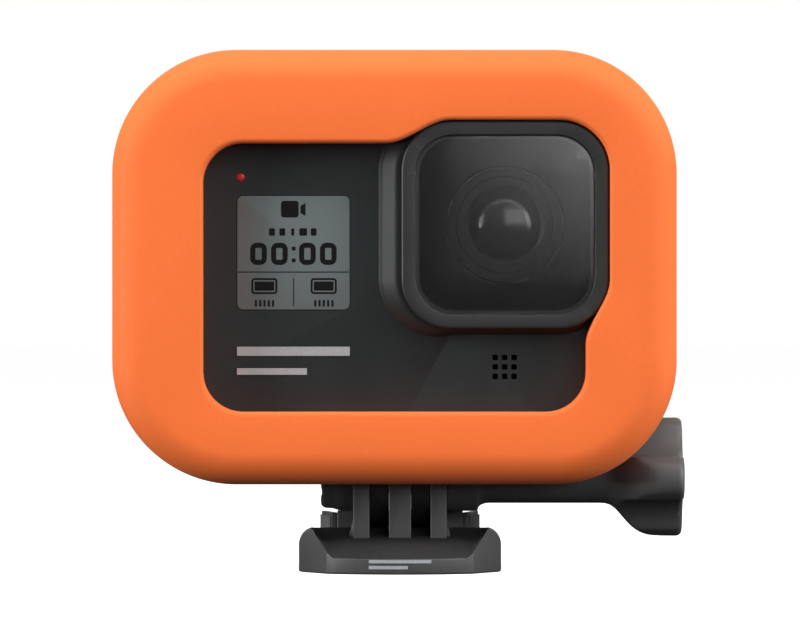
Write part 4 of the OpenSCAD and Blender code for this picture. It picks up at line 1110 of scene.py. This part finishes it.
def thumb_bolt():
    """Steel bolt with a chamfered hexagon head."""
    low, high = span("thumb_bolt")
    start, end = low[0], high[0]
    head = end - 3.4
    shank = pivot_rod("bolt", [(2.0, start), (2.5, start + 0.6), (2.5, head + 0.2)])
    cap = prism_x("head", hexagon(4.62), head, end)
    trim = pivot_rod("trim", [(4.9, head - 1), (4.9, end - 0.7), (3.9, end + 0.02)], 64)
    boolean(cap, trim, "INTERSECT")
    bevel(join_solid(shank, cap), 0.12, 2, 30)
    finish_piece(shank, "thumb_screw", "thumb_bolt", "steel")


def captive_nut():
    """Steel nut, chamfered on its outer face."""
    low, high = span("captive_nut")
    start, end = low[0], high[0]
    nut = prism_x("nut", hexagon(4.6), start, end)
    trim = pivot_rod("trim", [(3.9, start - 0.02), (4.8, start + 0.6), (4.8, end + 1)], 64)
    boolean(nut, trim, "INTERSECT")
    cut(nut, pivot_rod("thread", [(2.9, start - 0.05), (2.56, start + 0.35), (2.56, end + 1)]))
    bevel(nut, 0.1, 2, 30)
    finish_piece(nut, "buckle", "captive_nut", "steel")


def finger(side):
    """A folding finger: a round end about the bolt, and a foot that reaches up into the camera."""
    node = f"finger_{side}"
    low, high = span(node)
    r, top, more = PRONG_R, high[2], 0.07
    pts = round_end(-210, 30)
    pts += [(r - 1, PIVOT_Z + 5), (r - 1, top - 1.2), (r - 2, top), (-r + 2, top), (-r + 1, top - 1.2),
            (-r + 1, PIVOT_Z + 5)]
    obj = prism_x(f"folding_{side}", pts, low[0] - more, high[0] + more)
    bevel(cut(obj, bolt_bore(low[0] - 1, high[0] + 1)), 0.3, 3, 32)
    finish_piece(obj, "camera", node, "finger")


# ---------------------------------------------------------------- back of the camera

def rear_screen():
    low, high = span("rear_screen_glass")
    outline, normal = rounded_rect(high[0] - low[0], high[2] - low[2], 4.9, 20, 6)
    levels = [(outline, low[1]), *round_off(outline, -normal, 0.45, high[1], -1)]
    obj = stack("touch_glass", levels, middle_xz("rear_screen_glass"))
    finish_piece(obj, "camera", "rear_screen_glass", "screen", 40)


def button(name, node, axis, body):
    """A pill-shaped key with a crowned, softly rounded top, and its flange inside the wall."""
    low, high = span(node)
    base, tip = low[axis], high[axis]
    across = (0, 1) if axis == 2 else (1, 2)
    rim, flange_t, key_h, lip, soft = 1.1, 0.7, 0.9, 0.55, 0.35
    long_side, short_side = (high[k] - low[k] - rim for k in across)
    outline, normal = rounded_rect(long_side, short_side, short_side / 2 - 0.02, 14, 4)
    flange = rounded_rect(long_side + 2 * lip, short_side + 2 * lip, short_side / 2 + 0.5, 14, 4)[0]
    levels = [(flange, base), (flange, base + flange_t), (outline, base + flange_t), (outline, tip - key_h),
              *round_off(outline, -normal, soft, tip, -1, 4)]
    centre = middle(node)
    rings = []
    for pts, level in levels:
        line = np.full((len(pts), 3), level)
        line[:, across] = pts + centre[list(across)]
        rings.append(line)
    finish_piece(new_mesh(name, *loft(rings)), body, node, "body", 40)


# ---------------------------------------------------------------- the frame's own nodes

CARRIED = {
    "main_housing": "body", "rear_frame": "body", "side_door": "body", "housing_screws": "steel",
    "finger_pins": "steel", "lens_barrel": "ring", "lens_inner_elements": "lens", "image_sensor": "sensor",
    "sensor_board": "board", "front_lcd_panel": "panel", "rear_display_panel": "panel",
    "grille_membrane": "mesh", "speaker": "mesh", "microphones": "steel", "main_board": "board",
    "heat_spreader": "plate", "battery": "wrap", "door_seal": "rubber", "usb_port": "steel",
    "card_slot": "plate", "memory_card": "wrap", "button_switches": "steel", "button_seals": "rubber",
    "face_stripes": "print", "base_stripes": "print",
}


def dress_frame():
    for node, kind in CARRIED.items():
        mesh = frame["nodes"][node].data
        mesh.materials.clear()
        mesh.materials.append(MATERIALS[kind])


# ---------------------------------------------------------------- stage

def soft_light(name, place, aim, size, power):
    data = bpy.data.lights.new(name, "AREA")
    data.shape = "RECTANGLE"
    data.size, data.size_y = size
    data.energy = power
    lamp = new_object(name, data)
    lamp.location = place
    lamp.rotation_euler = (Vector(aim) - Vector(place)).to_track_quat("-Z", "Y").to_euler()
    lamp.visible_camera = False


def studio_world():
    """White to the camera's eye, dim grey to everything that it lights."""
    world = bpy.data.worlds.new("studio")
    bpy.context.scene.world = world
    world.use_nodes = True
    tree = world.node_tree
    ground = tree.nodes["Background"]
    ground.inputs["Color"].default_value = (1, 1, 1, 1)
    seen = tree.nodes.new("ShaderNodeLightPath")
    level = tree.nodes.new("ShaderNodeMapRange")
    level.inputs["To Min"].default_value = 0.1
    level.inputs["To Max"].default_value = 1.0
    tree.links.new(seen.outputs["Is Camera Ray"], level.inputs["Value"])
    tree.links.new(level.outputs["Result"], ground.inputs["Strength"])


def studio_floor():
    """Pale paper that glows to the camera's eye, and sends little light up under the float."""
    mesh = bpy.data.meshes.new("floor")
    reach = 6.0
    corners = [(-reach, -reach, 0), (reach, -reach, 0), (reach, reach, 0), (-reach, reach, 0)]
    mesh.from_pydata(corners, [], [(0, 1, 2, 3)])
    paper = Nodes("pale paper")
    seen = paper.add("ShaderNodeLightPath").outputs["Is Camera Ray"]
    tone = paper.mix(seen, (0.03, 0.03, 0.03), (0.5, 0.5, 0.5))
    paper.set(Roughness=0.9, Specular_IOR_Level=0.0, Base_Color=tone, Emission_Color=(1, 1, 1),
              Emission_Strength=paper.spread(seen, 0, 1, 0, 0.94))
    mesh.materials.append(paper.material)
    new_object("floor", mesh)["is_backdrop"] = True


def build_stage():
    """Soft panels above, beside and behind, and a key whose corner is mirrored in the lens window."""
    aim = (0.0, 0.0, 0.045)
    soft_light("overhead", (0.0, -0.10, 0.52), aim, (0.8, 0.40), 2.3)
    soft_light("left panel", (-0.60, -0.22, 0.16), aim, (0.28, 0.4), 4.4)
    soft_light("right panel", (0.62, -0.20, 0.16), aim, (0.45, 0.5), 3.3)
    soft_light("upper right", (0.72, -0.40, 0.52), aim, (0.75, 0.75), 2.6)
    soft_light("back fill", (0.0, 0.8, 0.35), aim, (0.9, 0.5), 1.3)
    corner_x, corner_z, side, far = 0.034, 0.074, 0.85, -1.02
    x, z = corner_x + side / 2, corner_z + side / 2
    soft_light("key", (x, far, z), (x, 0, z), (side, side), 4.6)
    studio_world()
    studio_floor()


def build_camera():
    data = bpy.data.cameras.new("camera")
    data.lens = 290
    data.sensor_width = 36
    data.clip_end = 50
    eye = new_object("camera", data)
    eye.location = (0.0, -1.0, 0.040)
    eye.rotation_euler = (math.radians(90), 0, 0)
    bpy.context.scene.camera = eye
    bpy.context.scene.view_settings.view_transform = "Standard"


# ---------------------------------------------------------------- build

build_camera()
build_stage()
dress_frame()
float_sleeve()
foam_pad("shutter_foam", "shutter_pad", 2, "shutter")
foam_pad("mode_foam", "mode_pad", 0, "mode")
front_cover()
lens_bezel()
lens_window()
lens_plate()
lens_ring()
front_lens()
display_window()
display_marks()
status_light()
buckle_base()
rib_tree, rib_ids = ridge_tree()
for side in ("left", "right"):
    squeeze_arm(side, rib_tree, rib_ids)
thumb_knob()
thumb_bolt()
captive_nut()
for side in ("left", "right"):
    finger(side)
rear_screen()
button("shutter_key", "shutter_button", 2, "shutter")
button("mode_key", "mode_button", 0, "mode")

sizes = {"cad": cad_bounds, "visual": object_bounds()}
{kind: [list(map(float, corner)) for corner in box] for kind, box in sizes.items()}
